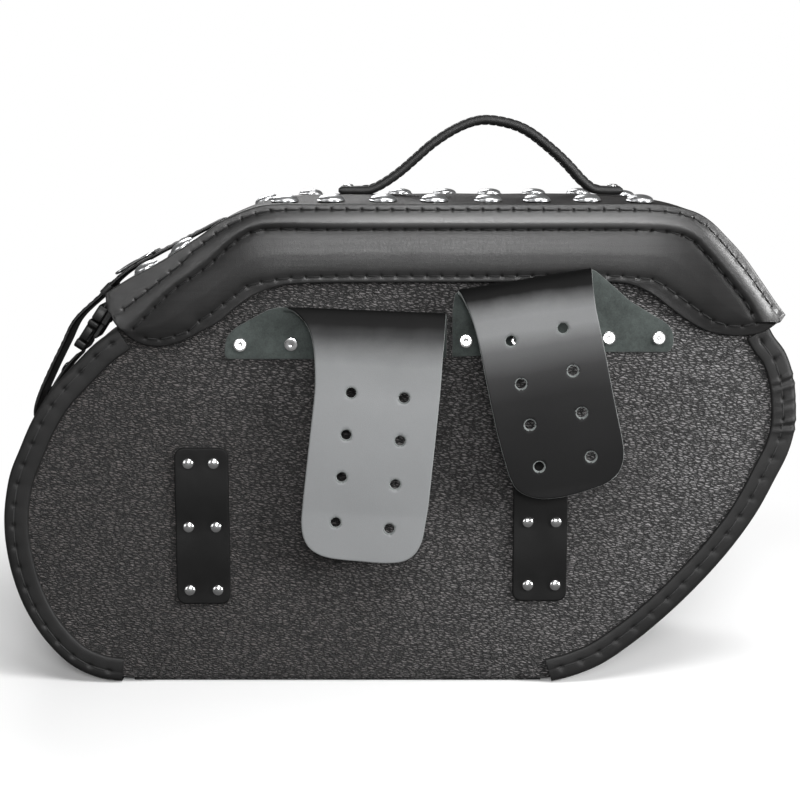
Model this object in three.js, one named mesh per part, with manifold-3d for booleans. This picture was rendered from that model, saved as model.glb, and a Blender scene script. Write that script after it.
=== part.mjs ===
// Motorcycle saddlebag: a hard-shelled leather pannier with a hinged lid,
// two punched mounting straps on its inner (bike-side) face, a carrying
// handle and a clip-and-strap closure on its left end.
//
// Millimetres, +Z up, +X along the bag's length, the bike-side face looks
// towards -Y. Left is -X and rear is -Y. The origin is on the rest face, at
// mid length and mid depth.
import * as THREE from 'three';
import { mergeVertices } from 'three/addons/utils/BufferGeometryUtils.js';
import Module from 'manifold-3d';

const wasm = await Module();
wasm.setup();

// ---------------------------------------------------------------- dimensions
const DEPTH = 170;                  // between the outer faces of the two panels
const BACK = -DEPTH / 2;            // y of the back panel's outer face
const FRONT = DEPTH / 2;            // y of the front panel's outer face
const PANEL_T = 4;                  // stiffened panel thickness
const GUSSET_T = 3;                 // end gusset and bottom thickness
const GUSSET_BULGE = 9;             // how far the end gussets bulge at mid depth
const BIND_T = 2;                   // binding leather thickness
const BIND_W = 14;                  // binding width on the panel face
const BIND_WRAP = 9;                // how far the binding wraps over the edge
const LEATHER_T = 2.2;              // strap and skirt leather thickness
const GAP = 0.3;                    // clearance between resting pieces
const POST_R = 1.6;                 // rivet shank radius
const BORE_R = POST_R + GAP;        // rivet hole radius
const BORE_SIDES = 7;
const LATHE_SIDES = 9;              // facets round rivets and studs
const BASE_RIVET = { radius: 4.3, height: 1.6 };   // heads on the strap bases
const PLATE_RIVET = { radius: 3.7, height: 2.0 };  // heads on the loop plates

// Body outline, [x, z]: from the upper left corner down, along the base and up the right end.
const OUTLINE = [
  [-170, 252], [-173, 243], [-178.4, 232.4], [-191.6, 223.6], [-204.9, 210.8], [-221.6, 192.9],
  [-234.1, 173.6], [-243.1, 154.2], [-249.4, 139.2], [-253.3, 120.9], [-254.5, 107.1],
  [-253.8, 92], [-249.4, 72], [-241.1, 51.3], [-228.9, 30.5], [-212.5, 13.6], [-196, 4.2],
  [-181.6, 0.6], [-161.3, 0], [81.7, 0], [98, 1.6], [112.9, 6.8], [129.7, 15], [149.6, 29.2],
  [171.9, 48], [194.6, 70], [213.9, 92], [229.2, 113.7], [240, 135.3], [247.7, 152.3],
  [251.5, 168.5], [251.5, 185.2], [248.9, 203.2], [243.3, 217.8], [236, 227.4], [228, 240],
];
const BASE_LEFT_X = -161.3, BASE_RIGHT_X = 81.7;   // ends of the outline's flat base

// The lid's rear top edge, [x, z], left tip to right tip.
const CONTOUR = [
  [-184.7, 254.4], [-171.7, 262.5], [-154, 271.8], [-137.6, 281.8], [-123.7, 291.1],
  [-112.4, 299.1], [-99.2, 305.3], [-84.9, 309.6], [-49.6, 310.2], [0, 310.2], [49.6, 310.2],
  [99.1, 310.2], [158, 310.2], [172.3, 308.4], [184.8, 304.7], [193, 299.1], [201.4, 289.2],
  [211.2, 276.8], [222.9, 260.6], [232.8, 248.1], [240.6, 239.9],
];

// Rivet centres on the back panel, [x, z].
const BASE_RIVETS = {
  left: [[-100.8, 221.9], [-68.7, 222.4], [-18, 222.5], [14, 222.5]],
  right: [[41.6, 224.4], [73.7, 225.1], [131.6, 226.3], [163.1, 226.3]],
};
const PLATE_RIVETS = {
  left: [[-135.2, 145.8], [-119, 145.8], [-135.6, 104.3], [-118.1, 104.3], [-135.6, 62.6],
    [-117.5, 62.6]],
  right: [[81.6, 148.7], [99.4, 148.7], [82, 107.6], [100, 107.6], [82.4, 65.9], [100, 65.9]],
};

// ---------------------------------------------------------------- materials
const material = (settings) => new THREE.MeshStandardMaterial({ metalness: 0, ...settings });
const PEBBLE = material({ color: 0x2b2b2c, roughness: 0.62 });
const SMOOTH = material({ color: 0x262627, roughness: 0.45 });
const LID = material({ color: 0x1c1a19, roughness: 0.5 });
const SUEDE = material({ color: 0x3b403e, roughness: 0.95 });
const STRAP_GREY = material({ color: 0x77797a, roughness: 0.55 });
const STRAP_DARK = material({ color: 0x2c2c2d, roughness: 0.5 });
const CHROME = material({ color: 0xd4d6d8, roughness: 0.15, metalness: 1 });
const PLASTIC = material({ color: 0x151515, roughness: 0.4 });
const WEBBING = material({ color: 0x161616, roughness: 0.9 });
const BOARD = material({ color: 0x3a332c, roughness: 0.9 });

// ---------------------------------------------------------------- solids and meshes
const group = new THREE.Group();

function toSolid(geometry) {
  const bare = new THREE.BufferGeometry();
  bare.setAttribute('position', geometry.attributes.position);
  bare.setIndex(geometry.index);
  const welded = mergeVertices(bare, 1e-4);
  return new wasm.Manifold(new wasm.Mesh({
    numProp: 3,
    vertProperties: Float32Array.from(welded.attributes.position.array),
    triVerts: Uint32Array.from(welded.index.array),
  }));
}

function indexedGeometry(vertices, triangles) {
  const geometry = new THREE.BufferGeometry();
  geometry.setAttribute('position', new THREE.BufferAttribute(Float32Array.from(vertices), 3));
  geometry.setIndex(new THREE.BufferAttribute(Uint32Array.from(triangles), 1));
  return geometry;
}

// add a mesh made from a geometry or a solid
function put(name, shape, meshMaterial) {
  let geometry = shape;
  if (!shape.isBufferGeometry) {
    const { vertProperties, triVerts } = shape.getMesh();
    geometry = indexedGeometry(vertProperties, triVerts);
  }
  geometry.computeVertexNormals();
  const mesh = new THREE.Mesh(geometry, meshMaterial);
  mesh.name = name;
  group.add(mesh);
}

function extrude(points, depth) {
  const shape = new THREE.Shape(points.map(([u, v]) => new THREE.Vector2(u, v)));
  return new THREE.ExtrudeGeometry(shape, { depth, bevelEnabled: false, steps: 1 });
}

// a flat outline in X and Z, extruded from y0 to y1
function slabXZ(points, y0, y1) {
  const slab = extrude(points, y1 - y0);
  slab.rotateX(Math.PI / 2);                // (x, y, z) -> (x, -z, y)
  slab.translate(0, y1, 0);
  return slab;
}
const solidXZ = (points, y0, y1) => toSolid(slabXZ(points, y0, y1));
// the same, centred on mid depth
const midSlab = (points, halfWidth) => slabXZ(points, -halfWidth, halfWidth);

// a flat outline in Y and Z, extruded from x0 to x1
function slabYZ(points, x0, x1) {
  const slab = extrude(points, x1 - x0);
  slab.applyMatrix4(new THREE.Matrix4().set(0, 0, 1, x0, 1, 0, 0, 0, 0, 1, 0, 0, 0, 0, 0, 1));
  return slab;
}

const lathe = (profile) =>
  new THREE.LatheGeometry(profile.map(([r, h]) => new THREE.Vector2(r, h)), LATHE_SIDES);

function cylinderY(radius, x, z, y0, y1, sides) {
  const cylinder = new THREE.CylinderGeometry(radius, radius, y1 - y0, sides);
  cylinder.translate(x, (y0 + y1) / 2, z);
  return toSolid(cylinder);
}

// A shell swept through rows of [x, y, z] points, the rows running towards +Y.
// The first set of rows lies to the right of travel along each row, the second to the left.
function sweptShell(rightRows, leftRows) {
  const count = rightRows[0].length;
  const lastRow = rightRows.length - 1, end = count - 1;
  const right = (row, i) => row * count + i;
  const left = (row, i) => (rightRows.length + row) * count + i;
  const triangles = [];
  const quad = (a, b, c, d) => triangles.push(a, c, b, a, d, c);
  for (let j = 0; j < lastRow; j++) {
    for (let i = 0; i < end; i++) {
      quad(right(j, i), right(j, i + 1), right(j + 1, i + 1), right(j + 1, i));
      quad(left(j, i), left(j + 1, i), left(j + 1, i + 1), left(j, i + 1));
    }
    quad(right(j, 0), right(j + 1, 0), left(j + 1, 0), left(j, 0));
    quad(right(j, end), left(j, end), left(j + 1, end), right(j + 1, end));
  }
  for (let i = 0; i < end; i++) {
    quad(right(0, i), left(0, i), left(0, i + 1), right(0, i + 1));
    quad(right(lastRow, i), right(lastRow, i + 1), left(lastRow, i + 1), left(lastRow, i));
  }
  return indexedGeometry([...rightRows, ...leftRows].flat(2), triangles);
}

// ---------------------------------------------------------------- outlines
function rightNormal([x0, z0], [x1, z1]) {
  const length = Math.hypot(x1 - x0, z1 - z0);
  return [(z1 - z0) / length, (x0 - x1) / length];
}

// move an open polyline sideways (positive is to the right of travel), with mitred corners
function offset(points, distance) {
  return points.map(([x, z], i) => {
    const before = Math.max(i - 1, 0), after = Math.min(i, points.length - 2);
    const [inX, inZ] = rightNormal(points[before], points[before + 1]);
    const [outX, outZ] = rightNormal(points[after], points[after + 1]);
    const length = Math.hypot(inX + outX, inZ + outZ);
    const nx = (inX + outX) / length, nz = (inZ + outZ) / length;
    const mitre = Math.max(0.5, nx * inX + nz * inZ);
    return [x + (nx * distance) / mitre, z + (nz * distance) / mitre];
  });
}

// closed outline between two offsets of a polyline
const ribbon = (line, a, b) => [...offset(line, a), ...offset(line, b).reverse()];
const rectangle = (x0, x1, z0, z1) => [[x0, z0], [x1, z0], [x1, z1], [x0, z1]];
const raiseTo = (points, floor) => points.map(([x, z]) => [x, Math.max(z, floor)]);
const mix = (a, b, t) => [a[0] + (b[0] - a[0]) * t, a[1] + (b[1] - a[1]) * t];
// maps [along, out] to [x, z]; out is to the left of the direction (ux, uz)
const localFrame = (x, z, ux, uz) => ([along, out]) =>
  [x + ux * along - uz * out, z + uz * along + ux * out];

// ---------------------------------------------------------------- panels
const LID_DROP = 8;                 // lid top surface down to the panels' top edges
const PANEL_FOOT = GUSSET_T + 0.6;  // the panels' lower edge
const TOP_LEFT_X = -165, TOP_RIGHT_X = 222;   // the top edge keeps lid contour points between these

// the sides and base follow the body outline inside the bindings, the top follows the lid
const panelSides = raiseTo(offset(OUTLINE, -BIND_T - GAP), PANEL_FOOT).slice(1, -1);
const panelTop = offset(CONTOUR, LID_DROP).filter(([x]) => x > TOP_LEFT_X && x < TOP_RIGHT_X);
const PANEL = [...panelSides, ...panelTop.reverse()];

// bare rectangle of the back panel, below the loop plates
const BARE_PATCH = rectangle(-146, 64, 9, 50);

// a panel with rivet holes, the patch kept as two facets of its own on each face
function drilledPanel(outline, holes, patchOutline, y0, y1) {
  const wound = (points, clockwise) => {
    const turned = points.map(([x, z]) => new THREE.Vector2(x, z));
    return THREE.ShapeUtils.isClockWise(turned) === clockwise ? turned : turned.reverse();
  };
  const circle = ([x, z]) => Array.from({ length: BORE_SIDES }, (_, i) => {
    const angle = (2 * Math.PI * i) / BORE_SIDES;
    return [x + BORE_R * Math.sin(angle), z + BORE_R * Math.cos(angle)];
  });
  const contour = wound(outline, false);
  const rings = holes.map((centre) => wound(circle(centre), true));
  const patch = wound(patchOutline, true);
  const faces = THREE.ShapeUtils.triangulateShape(contour, [...rings, patch]);
  const flat = [contour, ...rings, patch].flat();
  const n = flat.length, p = n - patch.length;
  faces.push([p, p + 2, p + 1], [p, p + 3, p + 2]);

  const vertices = [y0, y1].flatMap((y) => flat.flatMap((v) => [v.x, y, v.y]));
  const triangles = faces.flatMap(([a, b, c]) => [a, b, c, a + n, c + n, b + n]);
  let start = 0;
  for (const ring of [contour, ...rings]) {
    for (let i = 0; i < ring.length; i++) {
      const a = start + i, b = start + ((i + 1) % ring.length);
      triangles.push(a, a + n, b, b, a + n, b + n);
    }
    start += ring.length;
  }
  return indexedGeometry(vertices, triangles);
}

const panelHoles = [BASE_RIVETS, PLATE_RIVETS].flatMap(({ left, right }) => [...left, ...right]);
put('back_panel', drilledPanel(PANEL, panelHoles, BARE_PATCH, BACK, BACK + PANEL_T), PEBBLE);
put('front_panel', slabXZ(PANEL, FRONT - PANEL_T, FRONT), PEBBLE);

// bottom panel: flat, with its long edges running out to the panels' outer faces
const bottomSection = rectangle(BACK, FRONT, 0, GUSSET_T);
put('bottom_panel', slabYZ(bottomSection, BASE_LEFT_X - 6, BASE_RIGHT_X + 4), PEBBLE);

// ---------------------------------------------------------------- end gussets
const GUSSET_INSET = BIND_T + GAP + 1.2;           // inside the body outline
const GUSSET_Y = FRONT - PANEL_T - GAP;            // half depth, between the panels
const GUSSET_STATIONS = [-GUSSET_Y, 12 - GUSSET_Y, -42, 0, 42, GUSSET_Y - 12, GUSSET_Y];
const gussetPath = offset(OUTLINE, -GUSSET_INSET);
const GUSSET_LEFT = [[-166.5, 251], ...gussetPath.slice(1, 17), [-178, 3], [-168, 3]];
const GUSSET_RIGHT = [[88, 3], ...gussetPath.slice(21, 35), [226, 237]];

// curved shell between the two panels, bulging most at mid depth and mid length of the line
function gusset(line) {
  const pushed = offset(line, 1);
  const outerRows = [], innerRows = [];
  for (const y of GUSSET_STATIONS) {
    const outer = line.map((point, i) => {
      const alongLine = Math.sin((Math.PI * (i + 0.5)) / line.length) ** 0.6;
      return mix(point, pushed[i], GUSSET_BULGE * alongLine * (1 - (y / GUSSET_Y) ** 2));
    });
    const inner = offset(outer, -GUSSET_T);
    // both faces stop above the bottom panel
    outerRows.push(raiseTo(outer, GUSSET_T + 0.2).map(([x, z]) => [x, y, z]));
    innerRows.push(raiseTo(inner, GUSSET_T * 2 + 0.1).map(([x, z]) => [x, y, z]));
  }
  return sweptShell(outerRows, innerRows);
}
// the left gusset is put with the closure, whose rivets pass through it
put('gusset_right', gusset(GUSSET_RIGHT), PEBBLE);

// ---------------------------------------------------------------- bindings
const BIND_LEFT = OUTLINE.slice(2, 18);
const BIND_RIGHT = OUTLINE.slice(20, 35);
const BIND_FOOT = 4.2;              // lowest z of the binding's inner edge
const LIP_MIN = 0.15;               // least height of the wrap above the outline
const FUSE = 0.01;                  // overlap that joins wrap and face plate
const BIND_SIDES = {
  back: { face: BACK - GAP - BIND_T, wrap: [BACK - GAP - FUSE, BACK + BIND_WRAP] },
  front: { face: FRONT + GAP, wrap: [FRONT - BIND_WRAP, FRONT + GAP + FUSE] },
};

// a plate along the panel's face and a lip wrapped over its edge
function binding(line, { face, wrap }) {
  const inner = raiseTo(offset(line, -BIND_W), BIND_FOOT);
  const lip = offset(line, -BIND_T).map(([x, z], i) => [x, Math.max(z, line[i][1] + LIP_MIN)]);
  return solidXZ([...line, ...inner.reverse()], face, face + BIND_T)
    .add(solidXZ([...line, ...lip.reverse()], ...wrap));
}
for (const [side, placement] of Object.entries(BIND_SIDES)) {
  put(`${side}_binding_left`, binding(BIND_LEFT, placement), SMOOTH);
  put(`${side}_binding_right`, binding(BIND_RIGHT, placement), SMOOTH);
}

// ---------------------------------------------------------------- rear skirt
const SKIRT_Y1 = BACK - GAP - BIND_T - GAP;
const SKIRT_Y0 = SKIRT_Y1 - LEATHER_T;
const SKIRT_DROP = 1.2;             // skirt top below the lid contour
const SKIRT_TOP = 293;              // highest z of the skirt; the lid's edge strip starts above
// Lower edge of the skirt, [x, z], right to left.
const SKIRT_LOW = [
  [238.2, 236.8], [229, 230.5], [215.9, 227.9], [203.4, 228.6], [192, 231.1], [180.5, 237.4],
  [169, 245.6], [158.2, 253.7], [146.8, 259.4], [135.5, 261.5], [62.4, 261.5], [0, 261.5],
  [-58.7, 260.9], [-74.3, 259.4], [-90.7, 253.7], [-102, 246.2], [-113.5, 236.8],
  [-124.9, 230.5], [-137.6, 224.2], [-150.2, 221], [-161.5, 222.3], [-170.8, 227.3],
  [-178.7, 235.5], [-181.1, 239.9], [-184.1, 244.9],
];
// Outline of the stiffener board behind the skirt, [x, z].
const STIFFENER = [
  [-155.1, 229.4], [-146.9, 230.7], [-131.7, 235.7], [-117.1, 247.1], [-103.2, 257.7],
  [-87.4, 265.9], [-71.2, 267.4], [62.4, 268.6], [151, 267.4], [165.5, 263.4], [178.9, 254],
  [191.1, 245.2], [199.4, 240.1], [212, 238.3], [208, 249], [198, 264], [189, 276],
  [179, 285.6], [166, 288.5], [62, 289], [-43.5, 289], [-88, 288.5], [-97, 284.4],
  [-103, 279.8], [-111, 272.5], [-118, 266.8], [-130, 258.8], [-138, 253], [-149, 243.6],
];

// contour points 9 to 11 lie within the straight top and are left out
const skirtUpper = CONTOUR.filter((_, i) => i < 9 || i > 11)
  .map(([x, z]) => [x, Math.min(z - SKIRT_DROP, SKIRT_TOP)]);
put('rear_skirt', slabXZ([...skirtUpper, ...SKIRT_LOW], SKIRT_Y0, SKIRT_Y1), SMOOTH);

// the board is cut clear of both bindings, 1 mm beyond each edge
let stiffener = solidXZ(STIFFENER, BACK - GAP - BIND_T, BACK - GAP);
for (const line of [BIND_LEFT, BIND_RIGHT]) {
  stiffener = stiffener.subtract(solidXZ(ribbon(line, 1, -BIND_W - 1), BACK - 5, BACK + 1));
}
put('skirt_stiffener', stiffener, BOARD);

// ---------------------------------------------------------------- lid
const LID_T = 5;
const LID_BACK = BACK - 2.6;        // y of the lid's rear edge
const LID_STATIONS = [LID_BACK, BACK + 22, BACK + 54, 0, FRONT - 52, FRONT - 20, FRONT + 1];
const CROWN = { height: 4, y: 2, halfDepth: 92 };  // parabola across the depth

const crown = (y) => CROWN.height * (1 - ((y - CROWN.y) / CROWN.halfDepth) ** 2);
// height of the lid's top at y above its rear edge
const rise = (y) => crown(y) - crown(LID_BACK);
// z of the lid's rear top edge at x
function contourAt(x) {
  const i = CONTOUR.findIndex(([right], k) => k > 0 && x <= right);
  const [x0, z0] = CONTOUR[i - 1], [x1, z1] = CONTOUR[i];
  return z0 + ((z1 - z0) * (x - x0)) / (x1 - x0);
}

const lidRows = (line) => LID_STATIONS.map((y) => line.map(([x, z]) => [x, y, z + rise(y)]));
put('lid_panel', sweptShell(lidRows(offset(CONTOUR, LID_T)), lidRows(CONTOUR)), LID);

// edge strip: the roll of leather on the lid's straight rear edge, section in [y, z]
const STRIP_FOOT = SKIRT_TOP + 0.8, STRIP_TOP = 309;
const EDGE_STRIP = [
  [SKIRT_Y0, STRIP_FOOT], [SKIRT_Y1 - 0.1, STRIP_FOOT], [SKIRT_Y1 - 0.1, STRIP_TOP],
  [SKIRT_Y0 + 0.6, STRIP_TOP], [SKIRT_Y0, STRIP_TOP - 2],
];
put('lid_edge_strip', slabYZ(EDGE_STRIP, -84, 160), SMOOTH);

// front flap hangs from the lid's front edge over the front panel
const FLAP_Y0 = FRONT + GAP + BIND_T + GAP;
const FLAP_Y1 = FLAP_Y0 + 3;
// Lower edge of the flap, [x, z], right to left.
const FLAP_LOW = [
  [239, 231], [226, 219], [206, 205], [180, 193], [150, 187], [60, 184], [0, 184], [-60, 184],
  [-110, 188], [-140, 198], [-163, 214], [-179, 232],
];
const flapTop = CONTOUR.map(([x, z]) => [x, z + rise(FRONT)]);
put('front_flap', slabXZ([...flapTop, ...FLAP_LOW], FLAP_Y0, FLAP_Y1), SMOOTH);

// ---------------------------------------------------------------- lid studs
const STUD = { radius: 8.2, height: 4.6, lift: 0.9 };   // lift is the base above the lid
const STUD_STRIP = { bottom: 1.1, top: 2, halfWidth: 1.5 };  // heights above the lid
const SLOPE_REACH = 3;              // the lid's slope is taken this far to each side of a stud
const REAR_STUD_X = [-160.8, -137.6, -72.6, -43.6, -10.7, 21.5, 55.5, 86.4, 118, 151.5];
const FRONT_STUD_X = Array.from({ length: 11 }, (_, i) => (i - 5) * 32);

function stud(x, y) {
  const { radius, height, lift } = STUD;
  const climb = contourAt(x + SLOPE_REACH) - contourAt(x - SLOPE_REACH);
  const dome = lathe([[0, 0], [radius, 0], [radius * 0.82, height * 0.6], [0, height]]);
  dome.rotateX(Math.PI / 2);
  dome.rotateY(-Math.atan2(climb, 2 * SLOPE_REACH));
  dome.translate(x, y, contourAt(x) + rise(y) + lift);
  return toSolid(dome);
}

// chrome domes joined by a thin strip that follows the lid
function studRow(studXs, y) {
  const first = studXs[0], last = studXs[studXs.length - 1];
  const between = CONTOUR.map(([x]) => x).filter((x) => x > first + 1 && x < last - 1);
  const line = [first, ...between, last].map((x) => [x, contourAt(x) + rise(y)]);
  const { bottom, top, halfWidth } = STUD_STRIP;
  const strip = solidXZ(ribbon(line, -top, -bottom), y - halfWidth, y + halfWidth);
  return [...studXs.map((x) => stud(x, y)), strip].reduce((sum, part) => sum.add(part));
}
put('lid_studs_rear', studRow(REAR_STUD_X, BACK + 14), CHROME);
put('lid_studs_front', studRow(FRONT_STUD_X, FRONT - 16), CHROME);

// ---------------------------------------------------------------- handle
const HANDLE_T = 5.2, HANDLE_W = 21;               // strap section
const HANDLE_Z = contourAt(40) + rise(0);          // lid top under the handle
// Middle line of the handle, [x, height above the lid], left to right.
const HANDLE_ARC = [
  [-9.5, 8.4], [0, 15.5], [11, 25.6], [22.2, 35.4], [39.6, 47.3], [56.3, 52], [68.4, 49.6],
  [83.9, 42.7], [103, 27.2], [114, 17.6], [124, 9],
];
const onLid = (points) => points.map(([x, height]) => [x, HANDLE_Z + height]);
const handleOutline = ribbon(onLid(HANDLE_ARC), -HANDLE_T / 2, HANDLE_T / 2);
put('handle', midSlab(handleOutline, HANDLE_W / 2), SMOOTH);

// flat tab lying on the lid, from its outer end to a bend and up to a raised tip
function handleEnd(outerX, bendX, tipX) {
  const inward = Math.sign(tipX - outerX);
  return midSlab(onLid([
    [outerX, GAP], [bendX, GAP], [tipX, 3],
    [tipX - 1.5 * inward, 4.5], [bendX - 3 * inward, 3.4], [outerX, 3.4],
  ]), HANDLE_W / 2);
}
put('handle_end_left', handleEnd(-41, -20, -13.5), SMOOTH);
put('handle_end_right', handleEnd(149.3, 134, 128), SMOOTH);

// ---------------------------------------------------------------- pieces riveted to the back
const BASE_Y1 = BACK - GAP;
const BASE_Y0 = BASE_Y1 - LEATHER_T;
const HEAD_Y = BASE_Y0 - 0.25;                     // underside of the rivet heads
const SHANK_END = BACK + PANEL_T + GAP + 0.8 - HEAD_Y;   // shank length, through the panel

// rivet through the back panel, its head looking towards -Y
function backRivet([x, z], { radius, height }) {
  const rivet = lathe([[0, -height], [radius * 0.7, -height * 0.8], [radius, 0], [POST_R, 0],
    [POST_R, SHANK_END], [0, SHANK_END]]);
  rivet.translate(x, HEAD_Y, z);
  return toSolid(rivet);
}

function putRiveted(name, blank, pieceMaterial, rivetName, rivets, size) {
  let piece = blank;
  for (const [x, z] of rivets) {
    piece = piece.subtract(cylinderY(BORE_R, x, z, BASE_Y0 - 1, BASE_Y1 + 1, BORE_SIDES));
  }
  put(name, piece, pieceMaterial);
  rivets.forEach((at, i) => put(`${rivetName}_${i + 1}`, backRivet(at, size), CHROME));
}

// ---------------------------------------------------------------- mounting straps
const CUT_Y = -130;                 // rear limit of the outline cutters, clear of the straps
const PUNCH = { radius: 3.4, sides: 12 };
// x, y and z of the middle of each fold's top line, and the line's slope in degrees
const FOLD_LEFT = { x: -24.4, y: -93.5, z: 244.9, tilt: -2.39 };
const FOLD_RIGHT = { x: 77, y: -95.5, z: 264.3, tilt: 9.38 };

// Per strap: base and outline are [x, z]; leg is the side profile of the base's upper part,
// [y, height above the fold line]; holes are punched hole centres, [x, z].
const MOUNTS = [{
  side: 'left',
  fold: FOLD_LEFT,
  material: STRAP_GREY,
  length: 175,
  lean: 0,                          // extra distance the strap stands out to the rear
  base: [
    [-110.8, 212.9], [28.6, 212.9], [28.6, 234], [-52, 236.5], [-62, 240.5], [-75.4, 243.5],
    [-82.7, 243], [-93.2, 238.6], [-103.7, 232.8], [-109, 227.6], [-110.6, 221.3],
  ],
  leg: [
    [-85.3, -15.7], [-85.3, -4.7], [-87.3, -1.5], [-90.3, -0.1], [FOLD_LEFT.y + GAP, 0],
    [FOLD_LEFT.y + GAP, -LEATHER_T], [-91, -2.6], [-89, -4.4], [-87.5, -7.7], [-87.5, -15.7],
  ],
  outline: [
    [-72.9, 246.9], [-66.6, 245.1], [-60.2, 239.2], [-56.1, 233.1], [-54.1, 225],
    [-52.8, 210.7], [-53, 189.5], [-57.1, 164.2], [-59.4, 142.2], [-62.5, 115],
    [-61.4, 100.3], [-57.1, 93.6], [-48.4, 88.4], [-25.1, 85.4], [-6.2, 83.4], [3.2, 85.4],
    [9.8, 91.4], [14.1, 98.8], [17.7, 125.7], [21.4, 164.2], [25.2, 189.5], [26.7, 214.7],
    [28.8, 242.3], [28.8, 252], [-74, 252],
  ],
  holes: [
    [-30.5, 193.9], [2.5, 190.7], [-33.7, 167.4], [0, 163.6], [-36.7, 140.2], [-3.1, 135.4],
    [-40.7, 110.7], [-6.8, 106.6],
  ],
}, {
  side: 'right',
  fold: FOLD_RIGHT,
  material: STRAP_DARK,
  length: 160,
  lean: 3,
  base: [
    [33, 214.1], [170.1, 217.3], [172.6, 222.5], [171.8, 230.9], [167.5, 236.1],
    [160.1, 240.3], [144.3, 249.7], [133.8, 257], [125.9, 258.5], [112, 258.5], [48, 243],
    [38, 240], [33, 238],
  ],
  leg: [
    [-85.3, -27], [-85.3, -19.2], [-87.4, -15.2], [-90.4, -10.8], [-91.6, -4.4], [-93, -1.1],
    [FOLD_RIGHT.y + GAP, 0], [FOLD_RIGHT.y + GAP, -LEATHER_T], [-94.6, -3], [-93.8, -5.8],
    [-92.5, -11.6], [-89.4, -17], [-87.5, -20.8], [-87.5, -27],
  ],
  outline: [
    [36.1, 257.1], [40, 251.1], [44, 242.1], [49.2, 224.8], [52.4, 206.3], [55.7, 188.5],
    [61, 165.2], [66.1, 150.5], [68.5, 140.3], [72.9, 132], [81.6, 128.4], [90.2, 127.2],
    [101.7, 128.4], [118.9, 133.5], [130.2, 137.9], [136.6, 143.1], [139.2, 150.4],
    [139.7, 157.8], [133.8, 185.4], [129.2, 206.4], [125.2, 226.9], [122, 239.2],
    [119.8, 250.3], [118.4, 262.3], [118.7, 278], [35.5, 268],
  ],
  holes: [
    [68.4, 227], [100.3, 235], [74.8, 200.4], [106.8, 208.5], [80.7, 174.7], [112.8, 182.3],
    [86.9, 147.9], [119.1, 154.4],
  ],
}];

// a side profile (y, height above the fold line) swept along the slanted fold line
function alongFold(fold, profile, halfLength) {
  const sweep = slabYZ(profile, -halfLength, halfLength);
  sweep.rotateY((-fold.tilt * Math.PI) / 180);
  sweep.translate(fold.x, 0, fold.z);
  return toSolid(sweep);
}

// flat base with an upper part that rises and leans out to the top of the fold
function strapBase({ base, fold, leg, outline }) {
  const upper = alongFold(fold, leg, 75).intersect(solidXZ(outline, CUT_Y, BACK));
  return solidXZ(base, BASE_Y0, BASE_Y1).add(upper);
}

// a strap hangs from its fold: the side profile bows out, the outline is cut from it
function hangingStrap({ outline, holes, fold, length, lean }) {
  const outer = [
    [0, 0], [-3.5, -1], [-6, -5], [-8, -16], [-9.5 - lean, 20 - length / 2],
    [-9.5 - lean, -20 - length / 2], [-7 - lean, -length],
  ].map(([y, z]) => [fold.y + y, z]);
  const inner = [[fold.y, -LEATHER_T], ...offset(outer, -LEATHER_T).slice(1)];
  let strap = alongFold(fold, [...outer, ...inner.reverse()], 85)
    .intersect(solidXZ(outline, CUT_Y, BACK - 1));
  for (const [x, z] of holes) {
    strap = strap.subtract(cylinderY(PUNCH.radius, x, z, CUT_Y, BACK + 5, PUNCH.sides));
  }
  return strap;
}

for (const mount of MOUNTS) {
  const { side } = mount;
  putRiveted(`strap_base_${side}`, strapBase(mount), SUEDE,
    `base_rivet_${side}`, BASE_RIVETS[side], BASE_RIVET);
}
for (const mount of MOUNTS) {
  put(`mount_strap_${mount.side}`, hangingStrap(mount), mount.material);
}

// ---------------------------------------------------------------- loop plates
// plate outline with each corner cut back in two facets
function plateOutline(x0, x1, z0, z1) {
  const cut = 4, inset = 1.2;
  return [
    [x0 + cut, z0], [x1 - cut, z0], [x1 - inset, z0 + inset],
    [x1, z0 + cut], [x1, z1 - cut], [x1 - inset, z1 - inset],
    [x1 - cut, z1], [x0 + cut, z1], [x0 + inset, z1 - inset],
    [x0, z1 - cut], [x0, z0 + cut], [x0 + inset, z0 + inset],
  ];
}
// x0, x1, z0, z1 of each plate
const PLATES = { left: [-144, -109.4, 53.3, 155.9], right: [72.5, 107.4, 55.3, 157.8] };
for (const [side, bounds] of Object.entries(PLATES)) {
  putRiveted(`loop_plate_${side}`, solidXZ(plateOutline(...bounds), BASE_Y0, BASE_Y1), SMOOTH,
    `plate_rivet_${side}`, PLATE_RIVETS[side], PLATE_RIVET);
}

// ---------------------------------------------------------------- left end closure strap
// Inner face of the strap, [x, z], from the lid's shoulder down and outwards over the end.
const CLOSURE = [
  [-118, 300], [-128, 293.4], [-146, 281.9], [-166, 271.2], [-186, 259.6], [-201.6, 244.6],
  [-219.2, 228.4], [-227.2, 213], [-238, 193.3], [-247.2, 174.2], [-251.3, 160],
];
put('closure_strap', midSlab(ribbon(CLOSURE, 0, 2.6), 15), SMOOTH);

// buckle frame and prong on the strap's outer face, in [along, out] of the strap
const BUCKLE_RUN = [20, 11.6];      // direction of the strap at the buckle, in x and z
const buckleLength = Math.hypot(...BUCKLE_RUN);
const onBuckle = localFrame(-176, 265.4, ...BUCKLE_RUN.map((run) => run / buckleLength));
const buckleBox = (halfLength, halfWidth, out0, out1) =>
  midSlab(rectangle(-halfLength, halfLength, out0, out1).map(onBuckle), halfWidth);
const buckleFrame = toSolid(buckleBox(15, 21, 3, 6)).subtract(toSolid(buckleBox(11, 17, 0, 9)));
put('closure_buckle', buckleFrame, CHROME);
put('closure_prong', buckleBox(9.5, 1.6, 3, 5.4), CHROME);

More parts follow.
